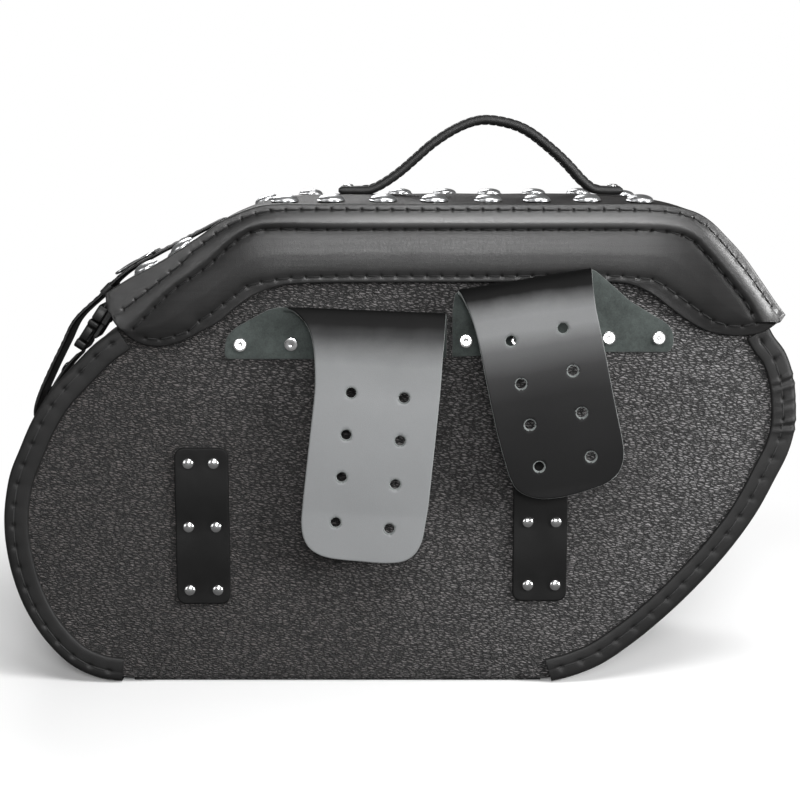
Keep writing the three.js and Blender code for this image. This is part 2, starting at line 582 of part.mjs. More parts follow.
// ---------------------------------------------------------------- side-release clip
// plug above and socket below, drawn in [along, out] of the clip
const onClip = localFrame(-207.2, 227.2, 0.55, 0.835);
const SOCKET = [[-20, -4], [2, -4], [2, 4], [-16, 4], [-20, 2]];
const PLUG = [[2.9, -3.8], [14, -3], [14, 3], [2.9, 3.8]];
const ARM_WINDOW = rectangle(-13, -2.2, -5, 5);
const ARM = rectangle(-12.4, -2.8, -2.4, 2.4);
const WINDOW_Y = 10.5;              // inner limit of the socket's side windows
const ARM_Y0 = WINDOW_Y + 3.2, ARM_Y1 = 16;        // depth range of an arm

let socket = toSolid(midSlab(SOCKET.map(onClip), 15));
socket = socket.subtract(solidXZ(ARM_WINDOW.map(onClip), -ARM_Y1, -WINDOW_Y));
socket = socket.subtract(solidXZ(ARM_WINDOW.map(onClip), WINDOW_Y, ARM_Y1));
put('clip_socket', socket, PLASTIC);
put('clip_arm_rear', slabXZ(ARM.map(onClip), -ARM_Y1, -ARM_Y0), PLASTIC);
put('clip_arm_front', slabXZ(ARM.map(onClip), ARM_Y0, ARM_Y1), PLASTIC);
put('clip_plug', midSlab(PLUG.map(onClip), 14.5), PLASTIC);

// webbing joins the plug to the lid's end
const WEB_HALF_W = 12.5;
const webOutline = [
  onClip([14.4, -1.2]), onClip([14.4, 1.2]),
  [-192.6, 250.2], [-187.6, 256], [-186.4, 254.2], [-190.6, 248.6],
];
put('clip_webbing', midSlab(webOutline, WEB_HALF_W), WEBBING);

// ---------------------------------------------------------------- clip tab and left gusset
// tab from the socket down over the gusset, held by two rivets through the gusset
const TAB_NORMAL = { x: -0.83, z: 0.557 };         // the rivets' outward direction
const overGusset = offset(OUTLINE, GUSSET_BULGE - 3.5);
const tabLine = [mix(overGusset[4], overGusset[5], 0.48), ...overGusset.slice(5, 8)];
// Rivet half section about its axis, [radius, height].
const TAB_RIVET = [
  [0, -8], [POST_R, -8], [POST_R, 3.2], [BASE_RIVET.radius, 3.2],
  [BASE_RIVET.radius * 0.7, 4.5], [0, 4.8],
];

let clipTab = toSolid(midSlab(ribbon(tabLine, 2.6, 0.5), WEB_HALF_W));
let gussetLeft = toSolid(gusset(GUSSET_LEFT));
[0.1, 0.92].forEach((share, i) => {
  const [x, z] = mix(tabLine[1], tabLine[2], share);
  const placed = (geometry) => {
    geometry.rotateZ(Math.atan2(-TAB_NORMAL.x, TAB_NORMAL.z));
    geometry.rotateX(Math.PI / 2);
    geometry.translate(x, 0, z);
    return toSolid(geometry);
  };
  const bore = placed(new THREE.CylinderGeometry(BORE_R, BORE_R, 30, BORE_SIDES));
  clipTab = clipTab.subtract(bore);
  gussetLeft = gussetLeft.subtract(bore);
  put(`tab_rivet_${i + 1}`, placed(lathe(TAB_RIVET)), CHROME);
});
put('clip_tab', clipTab, SMOOTH);
put('gusset_left', gussetLeft, PEBBLE);

// ---------------------------------------------------------------- front straps
// decorative straps on the flap, each with a rectangular buckle frame
const FRONT_STRAP_Y0 = FLAP_Y1 + GAP;
const FRONT_STRAP_Y1 = FRONT_STRAP_Y0 + 2.4;
const FRONT_BUCKLE_Y = FRONT_STRAP_Y1 + GAP;
// Strap outline, [x from the strap's middle, z].
const FRONT_STRAP = [[-14, 296], [-14, 132], [-9, 122], [0, 117], [9, 122], [14, 132], [14, 296]];

for (const [side, middle] of [['left', -75], ['right', 105]]) {
  const outline = FRONT_STRAP.map(([x, z]) => [middle + x, z]);
  put(`front_strap_${side}`, slabXZ(outline, FRONT_STRAP_Y0, FRONT_STRAP_Y1), SMOOTH);
  const outer = rectangle(middle - 21, middle + 21, 186, 214);
  const opening = rectangle(middle - 17, middle + 17, 190, 210);
  const buckle = solidXZ(outer, FRONT_BUCKLE_Y, FRONT_BUCKLE_Y + 3)
    .subtract(solidXZ(opening, FRONT_STRAP_Y1, FRONT_STRAP_Y1 + 5));
  put(`front_buckle_${side}`, buckle, CHROME);
}

export default group;
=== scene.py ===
# A black leather bag with a domed lid, a front flap, a carrying handle and two punched hanging
# straps on the back. X runs along the bag, Y from the back panel (-85) to the front panel (+85)
# and Z up from the floor. Lengths are in millimetres unless a comment says metres.
import math

import bmesh
import bpy
import numpy as np
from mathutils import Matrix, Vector
from mathutils.geometry import delaunay_2d_cdt


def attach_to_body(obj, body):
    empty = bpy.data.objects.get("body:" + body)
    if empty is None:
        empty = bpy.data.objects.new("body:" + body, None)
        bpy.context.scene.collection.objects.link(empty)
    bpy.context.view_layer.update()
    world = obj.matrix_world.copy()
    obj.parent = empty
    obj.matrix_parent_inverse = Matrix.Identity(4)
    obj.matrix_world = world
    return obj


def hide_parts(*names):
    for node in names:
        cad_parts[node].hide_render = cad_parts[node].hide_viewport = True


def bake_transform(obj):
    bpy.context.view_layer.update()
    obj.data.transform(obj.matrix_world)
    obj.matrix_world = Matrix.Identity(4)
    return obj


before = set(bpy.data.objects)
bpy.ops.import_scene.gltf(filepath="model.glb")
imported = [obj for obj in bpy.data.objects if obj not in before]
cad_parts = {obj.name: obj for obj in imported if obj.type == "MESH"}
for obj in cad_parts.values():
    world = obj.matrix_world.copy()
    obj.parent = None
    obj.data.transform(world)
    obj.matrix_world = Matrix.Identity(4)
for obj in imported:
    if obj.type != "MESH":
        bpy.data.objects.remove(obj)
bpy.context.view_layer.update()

scene = bpy.context.scene
MM = 0.001                    # metres in a millimetre
BACK, FRONT = -85.0, 85.0     # outer faces of the two panels, along Y

# ------------------------------------------------------------------ outlines: rows of X, Z
# The shell from the top left, down, along the floor and up the right.
SHELL = np.array([
    [-170, 252], [-173, 243], [-178.4, 232.4], [-191.6, 223.6], [-204.9, 210.8], [-221.6, 192.9],
    [-234.1, 173.6], [-243.1, 154.2], [-249.4, 139.2], [-253.3, 120.9], [-254.5, 107.1],
    [-253.8, 92], [-249.4, 72], [-241.1, 51.3], [-228.9, 30.5], [-212.5, 13.6], [-196, 4.2],
    [-181.6, 0.6], [-161.3, 0], [81.7, 0], [98, 1.6], [112.9, 6.8], [129.7, 15], [149.6, 29.2],
    [171.9, 48], [194.6, 70], [213.9, 92], [229.2, 113.7], [240, 135.3], [247.7, 152.3],
    [251.5, 168.5], [251.5, 185.2], [248.9, 203.2], [243.3, 217.8], [236, 227.4], [228, 240],
], float)
# The lid's top line at its back edge, left to right.
LID_LINE = np.array([
    [-184.7, 254.4], [-171.7, 262.5], [-154, 271.8], [-137.6, 281.8], [-123.7, 291.1],
    [-112.4, 299.1], [-99.2, 305.3], [-84.9, 309.6], [-49.6, 310.2], [0, 310.2], [49.6, 310.2],
    [99.1, 310.2], [158, 310.2], [172.3, 308.4], [184.8, 304.7], [193, 299.1], [201.4, 289.2],
    [211.2, 276.8], [222.9, 260.6], [232.8, 248.1], [240.6, 239.9],
], float)
# Lower edge of the back skirt, right to left.
SKIRT_LOW = np.array([
    [238.2, 236.8], [229, 230.5], [215.9, 227.9], [203.4, 228.6], [192, 231.1], [180.5, 237.4],
    [169, 245.6], [158.2, 253.7], [146.8, 259.4], [135.5, 261.5], [62.4, 261.5], [0, 261.5],
    [-58.7, 260.9], [-74.3, 259.4], [-90.7, 253.7], [-102, 246.2], [-113.5, 236.8],
    [-124.9, 230.5], [-137.6, 224.2], [-150.2, 221], [-161.5, 222.3], [-170.8, 227.3],
    [-178.7, 235.5], [-181.1, 239.9], [-184.1, 244.9],
], float)
# The skirt's three seams, left to right: top, middle and lower.
TOP_ROW = np.array([
    [-175.4, 242.8], [-160.7, 254.2], [-153.7, 259.6], [-145.4, 266.2], [-137.8, 271.8],
    [-132, 278.1], [-124.4, 284.3], [-110.6, 294.2], [-99.3, 300.4], [-85, 305.3],
    [-70.7, 306.5], [0, 306.5], [93, 306.5], [167.4, 305.3], [180.5, 302.2], [190, 296.6],
    [198.3, 287.6], [206.8, 277.1], [214.6, 267.4], [223.1, 256.3], [233.2, 243.6],
], float)
MIDDLE_ROW = np.array([
    [-168.8, 231.1], [-157.8, 241.8], [-150.8, 248.7], [-139.9, 258.1], [-131.7, 263.7],
    [-119.7, 271.8], [-113.4, 277.4], [-105.8, 284.3], [-99.5, 289.2], [-90.1, 293.6],
    [-43.5, 294.5], [62.1, 294.5], [149.1, 294.2], [167.8, 292.9], [180.9, 288.6],
    [190.5, 279.3], [200.2, 267.5], [208.7, 256.9], [217.2, 246.2], [223.2, 236.1],
], float)
LOWER_ROW = np.array([
    [-162, 227.3], [-155.1, 225.4], [-146.9, 226.7], [-131.7, 231.7], [-124.7, 238.7],
    [-117.1, 243.1], [-110.1, 248.7], [-103.2, 253.7], [-95.6, 259.4], [-87.4, 261.9],
    [-79.3, 263.1], [-71.2, 264.4], [-31.2, 265.6], [62.4, 265.6], [127.9, 266.2],
    [151, 264.4], [159.2, 263.1], [165.5, 259.4], [172.5, 254.4], [178.9, 250],
    [184.7, 245.6], [191.1, 241.2], [199.4, 236.1], [207.6, 234.3], [216.3, 234.3],
    [223.8, 236.1],
], float)


def fill_shell_corners():
    """Pushes the two rounded lower corners of the shell outwards, and keeps it off the floor."""
    for point in SHELL:
        x, z = point
        if x > 90 and z < 115:
            amount = np.interp(x, [95, 98, 113, 130, 150, 172, 195, 214, 229],
                               [0, 1.5, 2.6, 3.3, 3.3, 2.8, 1.8, 0.8, 0])
            point += amount * np.array([0.66, -0.75])
        elif x < -185 and z < 110:
            amount = np.interp(z, [2, 4.2, 13.6, 30.5, 51.3, 72, 95],
                               [0, 1.6, 2.8, 2.7, 2.6, 1.3, 0])
            point += amount * np.array([-0.75, -0.66])
    SHELL[:, 1] = np.maximum(SHELL[:, 1], 0.0)


def fill_right_slope(points, stations, amounts):
    """Moves the part of a line on the right slope outwards by an amount that follows X."""
    amount = np.interp(points[:, 0], stations, amounts, left=0)
    return points + amount[:, None] * np.array([0.79, 0.61])


fill_shell_corners()
LID_LINE = fill_right_slope(LID_LINE, [184, 193, 201.4, 211.2, 222.9, 232.8, 240.6],
                            [0, 0.6, 2.0, 3.4, 3.7, 2.9, 1.8])
TOP_ROW = fill_right_slope(TOP_ROW, [184, 190, 198.3, 206.8, 214.6, 223.1, 233.2],
                           [0, 0.3, 0.9, 1.5, 1.8, 1.8, 1.2])
MIDDLE_ROW = fill_right_slope(MIDDLE_ROW, [190, 200, 208, 217, 223], [0, 0.7, 1.1, 1.1, 0.5])


# ------------------------------------------------------------------ curves
def unit(vectors):
    length = np.linalg.norm(vectors, axis=-1, keepdims=True)
    return vectors / np.maximum(length, 1e-9)


def arc_length(points):
    return np.r_[0, np.cumsum(np.linalg.norm(np.diff(points, axis=0), axis=1))]


def sample(points, along, wanted):
    """Interpolates the points, which lie at the distances along, at the wanted distances."""
    columns = [np.interp(wanted, along, points[:, k]) for k in range(points.shape[1])]
    return np.stack(columns, axis=1)


def resample(points, step):
    points = np.asarray(points, float)
    along = arc_length(points)
    count = max(2, int(round(along[-1] / step)) + 1)
    return sample(points, along, np.linspace(0, along[-1], count))


def resample_closed(points, step):
    return resample(np.vstack([points, points[:1]]), step)[:-1]


def smooth_path(points, step):
    """Centripetal Catmull-Rom curve through the points, resampled at about equal steps."""
    def between(t, start, a, end, b):
        return (end - t) / (end - start) * a + (t - start) / (end - start) * b

    points = np.asarray(points, float)
    padded = np.vstack([2 * points[0] - points[1], points, 2 * points[-1] - points[-2]])
    curve = []
    for p0, p1, p2, p3 in zip(padded, padded[1:], padded[2:], padded[3:]):
        spans = [max(np.linalg.norm(d), 1e-6) ** 0.5 for d in (p1 - p0, p2 - p1, p3 - p2)]
        t0 = 0.0
        t1, t2, t3 = np.cumsum(spans)
        for t in np.linspace(t1, t2, 12, endpoint=False):
            a1 = between(t, t0, p0, t1, p1)
            a2 = between(t, t1, p1, t2, p2)
            a3 = between(t, t2, p2, t3, p3)
            b1 = between(t, t0, a1, t2, a2)
            b2 = between(t, t1, a2, t3, a3)
            curve.append(between(t, t1, b1, t2, b2))
    curve.append(points[-1])
    return resample(np.array(curve), step)


def right_normals(path):
    """Unit normals to the right of travel for an open 2D path."""
    tangent = unit(np.gradient(path, axis=0))
    return np.stack([tangent[:, 1], -tangent[:, 0]], axis=1)


def shift(path, distance):
    """Moves a path to the right of its travel."""
    return path + right_normals(path) * distance


def spaced(path, pitch, first):
    """Points at a fixed pitch along a path, from a first distance on."""
    along = arc_length(path)
    count = int((along[-1] - first) // pitch)
    wanted = first + pitch * np.arange(count + 1)
    return sample(path, along, wanted[wanted <= along[-1]])


def distance_to_line(points, line, closed=False):
    line = np.asarray(line, float)
    starts = line if closed else line[:-1]
    ends = np.roll(line, -1, axis=0) if closed else line[1:]
    best = np.full(len(points), 1e9)
    for chunk in range(0, len(starts), 64):
        a, b = starts[chunk:chunk + 64], ends[chunk:chunk + 64]
        ab = b - a
        t = ((points[:, None, :] - a) * ab).sum(2) / np.maximum((ab * ab).sum(1), 1e-12)
        nearest = a + np.clip(t, 0, 1)[..., None] * ab
        best = np.minimum(best, np.linalg.norm(points[:, None, :] - nearest, axis=2).min(1))
    return best


def inside(points, polygon):
    x, y = points[:, 0], points[:, 1]
    result = np.zeros(len(points), bool)
    for (x1, y1), (x2, y2) in zip(polygon, np.roll(polygon, -1, axis=0)):
        height = (y2 - y1) if abs(y2 - y1) > 1e-12 else 1e-12
        result ^= ((y1 > y) != (y2 > y)) & (x < (x2 - x1) * (y - y1) / height + x1)
    return result


def wave(points, scale, seed=0.0):
    """Smooth pseudo-noise from sines, -1 to 1."""
    x, z = points[:, 0] / scale, points[:, 1] / scale
    total = (np.sin(x * 1.7 + 1.3 * np.sin(z * 1.1 + seed) + seed)
             + np.sin(z * 2.3 + 1.7 * np.sin(x * 0.9 + 2 * seed) + 1.9)
             + np.sin((x + z) * 1.31 + seed * 3.1) + np.sin((x - 1.4 * z) * 0.83 + 0.7 + seed))
    return total / 4


def quarter_round(distance, radius):
    """Height of a quarter circle this far in from its edge."""
    distance = np.clip(distance, 0, radius)
    return np.sqrt(np.maximum(radius * radius - (radius - distance) ** 2, 0))


def at_depth(points, y):
    """Puts X-Z points into space at the depth y, one for all or one each."""
    return np.stack(np.broadcast_arrays(points[..., 0], y, points[..., 1]), axis=-1)


def unit_circle(count, turn=0.0):
    angle = np.linspace(0, 2 * np.pi, count, endpoint=False) + turn
    return np.stack([np.cos(angle), np.sin(angle)], axis=1)


def rounded(polygon, radius, count=5):
    """Rounds the corners of a closed polygon and samples it every 2 mm."""
    polygon = np.asarray(polygon, float)
    points = []
    for i, corner in enumerate(polygon):
        back, ahead = polygon[i - 1] - corner, polygon[(i + 1) % len(polygon)] - corner
        back_length, ahead_length = np.linalg.norm(back), np.linalg.norm(ahead)
        cut = min(radius, back_length * 0.45, ahead_length * 0.45)
        start, end = corner + back / back_length * cut, corner + ahead / ahead_length * cut
        for t in np.linspace(0, 1, count):
            points.append((1 - t) ** 2 * start + 2 * t * (1 - t) * corner + t * t * end)
    return resample_closed(np.array(points), 2.0)


def rounded_rectangle(width, height, radius, count=8):
    x, y = width / 2 - radius, height / 2 - radius
    points = []
    for cx, cy, start in ((x, y, 0), (-x, y, 90), (-x, -y, 180), (x, -y, 270)):
        for turn in np.linspace(0, 90, count):
            a = math.radians(start + turn)
            points.append((cx + radius * math.cos(a), cy + radius * math.sin(a)))
    return np.array(points)


# ------------------------------------------------------------------ meshes
def make_mesh(name, vertices, faces, mat, smooth):
    """Makes an object from millimetres. Edges sharper than smooth degrees stay hard."""
    mesh = bpy.data.meshes.new(name)
    places = np.asarray(vertices, float) * MM
    mesh.from_pydata([tuple(v) for v in places], [], [list(map(int, f)) for f in faces])
    mesh.validate()
    bm = bmesh.new()
    bm.from_mesh(mesh)
    bmesh.ops.remove_doubles(bm, verts=bm.verts, dist=1e-7)
    bmesh.ops.recalc_face_normals(bm, faces=bm.faces)
    bm.to_mesh(mesh)
    bm.free()
    shade_smooth(mesh, smooth)
    mesh.update()
    ob = bpy.data.objects.new(name, mesh)
    scene.collection.objects.link(ob)
    mesh.materials.append(mat)
    return ob


def shade_smooth(mesh, angle):
    mesh.polygons.foreach_set("use_smooth", [True] * len(mesh.polygons))
    mesh.set_sharp_from_angle(angle=math.radians(angle))


def attach(ob, body, slot, *replaced):
    """Parents the object to the body that carries it and hides the parts it stands for. slot, its
    finish, is not used.

    body is one body's name, which the object is parented to, or (first body, second body, start,
    end) in metres, for which the object's transform is only baked into its mesh and these four
    values are not used."""
    if replaced:
        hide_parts(*replaced)
    if isinstance(body, str):
        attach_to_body(ob, body)
    else:
        first, second, start, end = body
        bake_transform(ob)
        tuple(start)
        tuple(end)


def vertex_places(mesh):
    places = np.zeros(len(mesh.vertices) * 3)
    mesh.vertices.foreach_get("co", places)
    return places.reshape(-1, 3) / MM


def set_attribute(mesh, name, values):
    attribute = mesh.attributes.new(name, "FLOAT", "POINT")
    attribute.data.foreach_set("value", values.astype(np.float32))


def hole_distance(points, hole):
    return np.hypot(points[:, 0] - hole[0], points[:, 1] - hole[1])


def triangulate(outline, spacing, holes, pits, pit_ring, edge_rings):
    """Triangulates a flat region: points, triangles and distance to the nearest boundary.

    holes are (x, z, radius); pits are points that get finer rings of vertices round them."""
    outline = np.asarray(outline, float)
    after = np.roll(outline, -1, axis=0)
    if 0.5 * np.sum(outline[:, 0] * after[:, 1] - after[:, 0] * outline[:, 1]) < 0:
        outline = outline[::-1]
    fixed, edges = [], []
    circles = [np.array([x, z]) + radius * unit_circle(20) for x, z, radius in holes]
    for loop in (outline, *circles):
        base, count = len(fixed), len(loop)
        fixed.extend(loop.tolist())
        edges.extend([(base + i, base + (i + 1) % count) for i in range(count)])

    # a staggered grid, kept clear of the edges
    low, high = outline.min(0), outline.max(0)
    rows = np.arange(low[1], high[1] + spacing, spacing * 0.866)
    grid_x, grid_z = np.meshgrid(np.arange(low[0], high[0] + spacing, spacing), rows)
    grid_x = grid_x + (np.arange(len(rows)) % 2)[:, None] * spacing * 0.5
    grid = np.stack([grid_x.ravel(), grid_z.ravel()], axis=1)
    grid = grid[inside(grid, outline)]
    grid = grid[distance_to_line(grid, outline, True) > max(edge_rings) + spacing * 0.45]

    # lines of vertices that follow the edges, the holes and the pits
    extra = []
    tangent = unit(np.roll(outline, -1, axis=0) - np.roll(outline, 1, axis=0))
    inward = np.stack([-tangent[:, 1], tangent[:, 0]], axis=1)
    for inset in edge_rings:
        ring = outline + inward * inset
        extra.append(ring[distance_to_line(ring, outline, True) > inset * 0.93])
    for hole in holes:
        grid = grid[hole_distance(grid, hole) > hole[2] + 1.0]
        for margin in (0.3, 0.8):
            extra.append(np.array(hole[:2]) + (hole[2] + margin) * unit_circle(20, 0.15))
    if len(pits):
        keep = np.ones(len(grid), bool)
        for chunk in range(0, len(pits), 50):
            offsets = grid[:, None, :] - pits[chunk:chunk + 50][None]
            keep &= np.linalg.norm(offsets, axis=2).min(1) > pit_ring * 1.35
        grid = grid[keep]
        for radius, count in ((0.0, 1), (0.5, 6), (pit_ring, 8)):
            ring = pits[:, None, :] + radius * unit_circle(count)[None]
            extra.append(ring.reshape(-1, 2))
    free = np.vstack([grid] + extra)
    free = free[inside(free, outline)]
    for hole in holes:
        free = free[hole_distance(free, hole) > hole[2] * 1.01]

    result = delaunay_2d_cdt([Vector(p) for p in fixed + free.tolist()], edges, [], 1, 1e-5)
    points = np.array([tuple(v) for v in result[0]], float)
    triangles = np.array([(f[0], f[i], f[i + 1]) for f in result[2] for i in range(1, len(f) - 1)])
    centres = points[triangles].mean(1)
    keep = inside(centres, outline)
    for hole in holes:
        keep &= hole_distance(centres, hole) > hole[2] * 0.98
    triangles = triangles[keep]
    a, b, c = (points[triangles[:, k]] for k in range(3))
    area = (b[:, 0] - a[:, 0]) * (c[:, 1] - a[:, 1]) - (b[:, 1] - a[:, 1]) * (c[:, 0] - a[:, 0])
    triangles = triangles[np.abs(area) > 1e-7]
    used = np.unique(triangles)
    renumber = -np.ones(len(points), int)
    renumber[used] = np.arange(len(used))
    points, triangles = points[used], renumber[triangles]
    edge = distance_to_line(points, outline, True)
    for hole in holes:
        edge = np.minimum(edge, np.abs(hole_distance(points, hole) - hole[2]) * 1.6)
    return points, triangles, edge


def sheet(name, outline, spacing, thick, place, mat, relief, edge_radius=0.9, under=0.0,
          holes=(), pits=(), pit_ring=1.2, edge_rings=(0.3, 0.7, 1.2)):
    """A leather sheet with rounded edges.

    relief(points, edge) is added to the thickness; edge is the distance from the boundary.
    place(points, height) maps flat points to space. under is the underside's height."""
    points, triangles, edge = triangulate(outline, spacing, holes, pits, pit_ring, edge_rings)
    top = np.full(len(points), float(thick)) + relief(points, edge)
    top = top - edge_radius + quarter_round(edge, edge_radius)
    bottom = np.full(len(points), float(under))
    top = np.maximum(top, bottom + 0.15)
    n = len(points)
    faces = [tuple(t) for t in triangles] + [(a + n, c + n, b + n) for a, b, c in triangles]
    edges = [(t[i], t[(i + 1) % 3]) for t in triangles for i in range(3)]
    known = set(edges)
    faces += [(a, a + n, b + n, b) for a, b in edges if (b, a) not in known]
    return make_mesh(name, np.vstack([place(points, top), place(points, bottom)]), faces, mat, 50)


def ring_faces(rings, size, closed=False):
    """Quads between successive rings of vertices, with a cap at each end unless closed."""
    faces = []
    for i in range(rings if closed else rings - 1):
        a, b = i * size, (i + 1) % rings * size
        for j in range(size):
            k = (j + 1) % size
            faces.append((a + j, a + k, b + k, b + j))
    if not closed:
        faces.append(tuple(range(size))[::-1])
        faces.append(tuple((rings - 1) * size + j for j in range(size)))
    return faces


def ring_solid(name, rings, mat, smooth):
    """A solid from an array of rings, each a closed loop of 3D points."""
    count, size = rings.shape[:2]
    return make_mesh(name, rings.reshape(-1, 3), ring_faces(count, size), mat, smooth)


def tube(path, radius, segments, up):
    """A round bar along a 3D path; radius may be an array."""
    path = np.asarray(path, float)
    tangent = unit(np.gradient(path, axis=0))
    side = unit(np.cross(tangent, np.asarray(up, float)))
    top = np.cross(side, tangent)
    radius = np.broadcast_to(np.asarray(radius, float), (len(path),))[:, None, None]
    cos, sin = unit_circle(segments).T[:, None, :, None]
    rings = path[:, None, :] + radius * (cos * side[:, None, :] + sin * top[:, None, :])
    return rings.reshape(-1, 3), ring_faces(len(path), segments)


def wire_loop(path, radius, up, segments=12, flat=0.8):
    """A closed loop of wire, flattened along up."""
    tangent = unit(np.roll(path, -1, axis=0) - np.roll(path, 1, axis=0))
    side = np.cross(tangent, up)
    cos, sin = unit_circle(segments).T[:, None, :, None]
    rings = path[:, None] + radius * (cos * side[:, None] + flat * sin * up[None, None])
    return rings.reshape(-1, 3), ring_faces(len(path), segments, closed=True)


def lathe(profile, segments):
    """Revolves (radius, height) pairs about the height axis."""
    vertices, faces, rows = [], [], []
    for radius, height in profile:
        count = 1 if radius < 1e-6 else segments
        rows.append(list(range(len(vertices), len(vertices) + count)))
        if count == 1:
            vertices.append((0, 0, height))
        else:
            for x, y in unit_circle(segments):
                vertices.append((radius * x, radius * y, height))
    for low, high in zip(rows[:-1], rows[1:]):
        for j in range(segments):
            k = (j + 1) % segments
            if len(low) == 1 and len(high) > 1:
                faces.append((low[0], high[j], high[k]))
            elif len(high) == 1 and len(low) > 1:
                faces.append((low[j], high[0], low[k]))
            elif len(low) > 1:
                faces.append((low[j], high[j], high[k], low[k]))
    return np.array(vertices, float), faces


def dome_profile(radius, base, top, start, count):
    """Quarter ellipse from just above its base to the pole; start is a share of the arc."""
    profile = []
    for t in np.linspace(start, 1, count):
        angle = t * math.pi / 2
        profile.append((radius * math.cos(angle), base + (top - base) * math.sin(angle)))
    profile[-1] = (0, top)
    return profile


def stud(radius, height, segments):
    """A domed stud on a short cylindrical rim."""
    rim = [(0, 0.0), (radius * 0.9, 0.0), (radius, 0.15), (radius, 0.55), (radius * 0.93, 0.95)]
    return lathe(rim + dome_profile(radius * 0.93, 0.95, height, 0.08, 12), segments)


def stand(vertices, normal, place):
    """Turns a lathed part's axis to the normal and moves it to its place."""
    normal = unit(np.asarray(normal, float))
    start = np.array([1.0, 0, 0]) if abs(normal[0]) < 0.9 else np.array([0, 1.0, 0])
    u = unit(start - normal * (start @ normal))
    turn = np.stack([u, np.cross(normal, u), normal], axis=1)
    return vertices @ turn.T + np.asarray(place, float)


class Parts:
    """Collects many small solids into one mesh."""
    def __init__(self):
        self.vertices, self.faces, self.count = [], [], 0

    def add(self, vertices, faces):
        self.vertices.append(np.asarray(vertices, float))
        self.faces.extend([tuple(i + self.count for i in f) for f in faces])
        self.count += len(vertices)

    def make(self, name, mat, smooth=50):
        return make_mesh(name, np.vstack(self.vertices), self.faces, mat, smooth)


# ------------------------------------------------------------------ shader nodes
def rgba(colour):
    """An opaque colour from three values, or from one for grey."""
    return (*map(float, np.broadcast_to(colour, 3)), 1.0)


class Nodes:
    """Short calls that add nodes to a tree. Inputs take a value or another node's output."""
    def __init__(self, tree):
        self.tree = tree

    def feed(self, socket, value):
        if isinstance(value, bpy.types.NodeSocket):
            self.tree.links.new(value, socket)
        else:
            socket.default_value = rgba(value) if socket.type == "RGBA" else value

    def add(self, kind, inputs=None, **settings):
        node = self.tree.nodes.new("ShaderNode" + kind)
        for key, value in settings.items():
            setattr(node, key, value)
        for key, value in (inputs or {}).items():
            self.feed(node.inputs[key], value)
        return node

    def coords(self, scale=(1, 1, 1), rotation=(0, 0, 0)):
        vector = self.add("TexCoord").outputs["Object"]
        inputs = {"Vector": vector, "Scale": scale, "Rotation": rotation}
        return self.add("Mapping", inputs).outputs[0]

    def noise(self, scale, detail, roughness=0.5, vector=None, output="Fac"):
        inputs = {"Vector": vector or self.coords(), "Scale": scale, "Detail": detail,
                  "Roughness": roughness}
        return self.add("TexNoise", inputs).outputs[output]

    def voronoi(self, scale, feature="DISTANCE_TO_EDGE", vector=None):
        inputs = {"Vector": vector or self.coords(), "Scale": scale}
        return self.add("TexVoronoi", inputs, feature=feature).outputs["Distance"]

    def bands(self, scale, distortion, rotation=(0, 0, 0), direction="X"):
        inputs = {"Vector": self.coords(rotation=rotation), "Scale": scale,
                  "Distortion": distortion}
        return self.add("TexWave", inputs, bands_direction=direction).outputs["Fac"]

    def attribute(self, name):
        node = self.add("Attribute", attribute_name=name, attribute_type="GEOMETRY")
        return node.outputs["Fac"]

    def math(self, operation, *values, clamp=False):
        inputs = dict(enumerate(values))
        return self.add("Math", inputs, operation=operation, use_clamp=clamp).outputs[0]

    def times(self, a, b, clamp=False):
        return self.math("MULTIPLY", a, b, clamp=clamp)

    def plus(self, a, b):
        return self.math("ADD", a, b)

    def rescale(self, value, gain, offset, clamp=False):
        return self.math("MULTIPLY_ADD", value, gain, offset, clamp=clamp)

    def ramp(self, factor, stops):
        """stops are (position, colour or grey)."""
        node = self.add("ValToRGB", {"Fac": factor})
        elements = node.color_ramp.elements
        while len(elements) > 1:
            elements.remove(elements[-1])
        elements[0].position, elements[0].color = stops[0][0], rgba(stops[0][1])
        for position, colour in stops[1:]:
            elements.new(position).color = rgba(colour)
        return node.outputs[0]

    def mix(self, factor, a, b, blend="MIX"):
        inputs = {0: factor, 6: a, 7: b}
        return self.add("Mix", inputs, data_type="RGBA", blend_type=blend).outputs[2]

    def bump(self, height, strength, distance):
        """distance is in metres."""
        inputs = {"Height": height, "Strength": strength, "Distance": distance}
        return self.add("Bump", inputs).outputs[0]


class Shader(Nodes):
    """A material with one Principled surface."""
    def __init__(self, name):
        self.material = bpy.data.materials.new(name)
        self.material.use_nodes = True
        super().__init__(self.material.node_tree)
        self.tree.nodes.clear()
        self.output = self.add("OutputMaterial")
        self.principled = self.add("BsdfPrincipled")
        self.feed(self.output.inputs[0], self.principled.outputs[0])

    def set(self, key, value):
        self.feed(self.principled.inputs[key], value)

    def surface(self, colour, roughness, normal=None, specular=0.5, metallic=0.0):
        self.set("Base Color", colour)
        self.set("Roughness", roughness)
        self.set("Specular IOR Level", specular)
        self.set("Metallic", metallic)
        if normal is not None:
            self.set("Normal", normal)
        return self.material


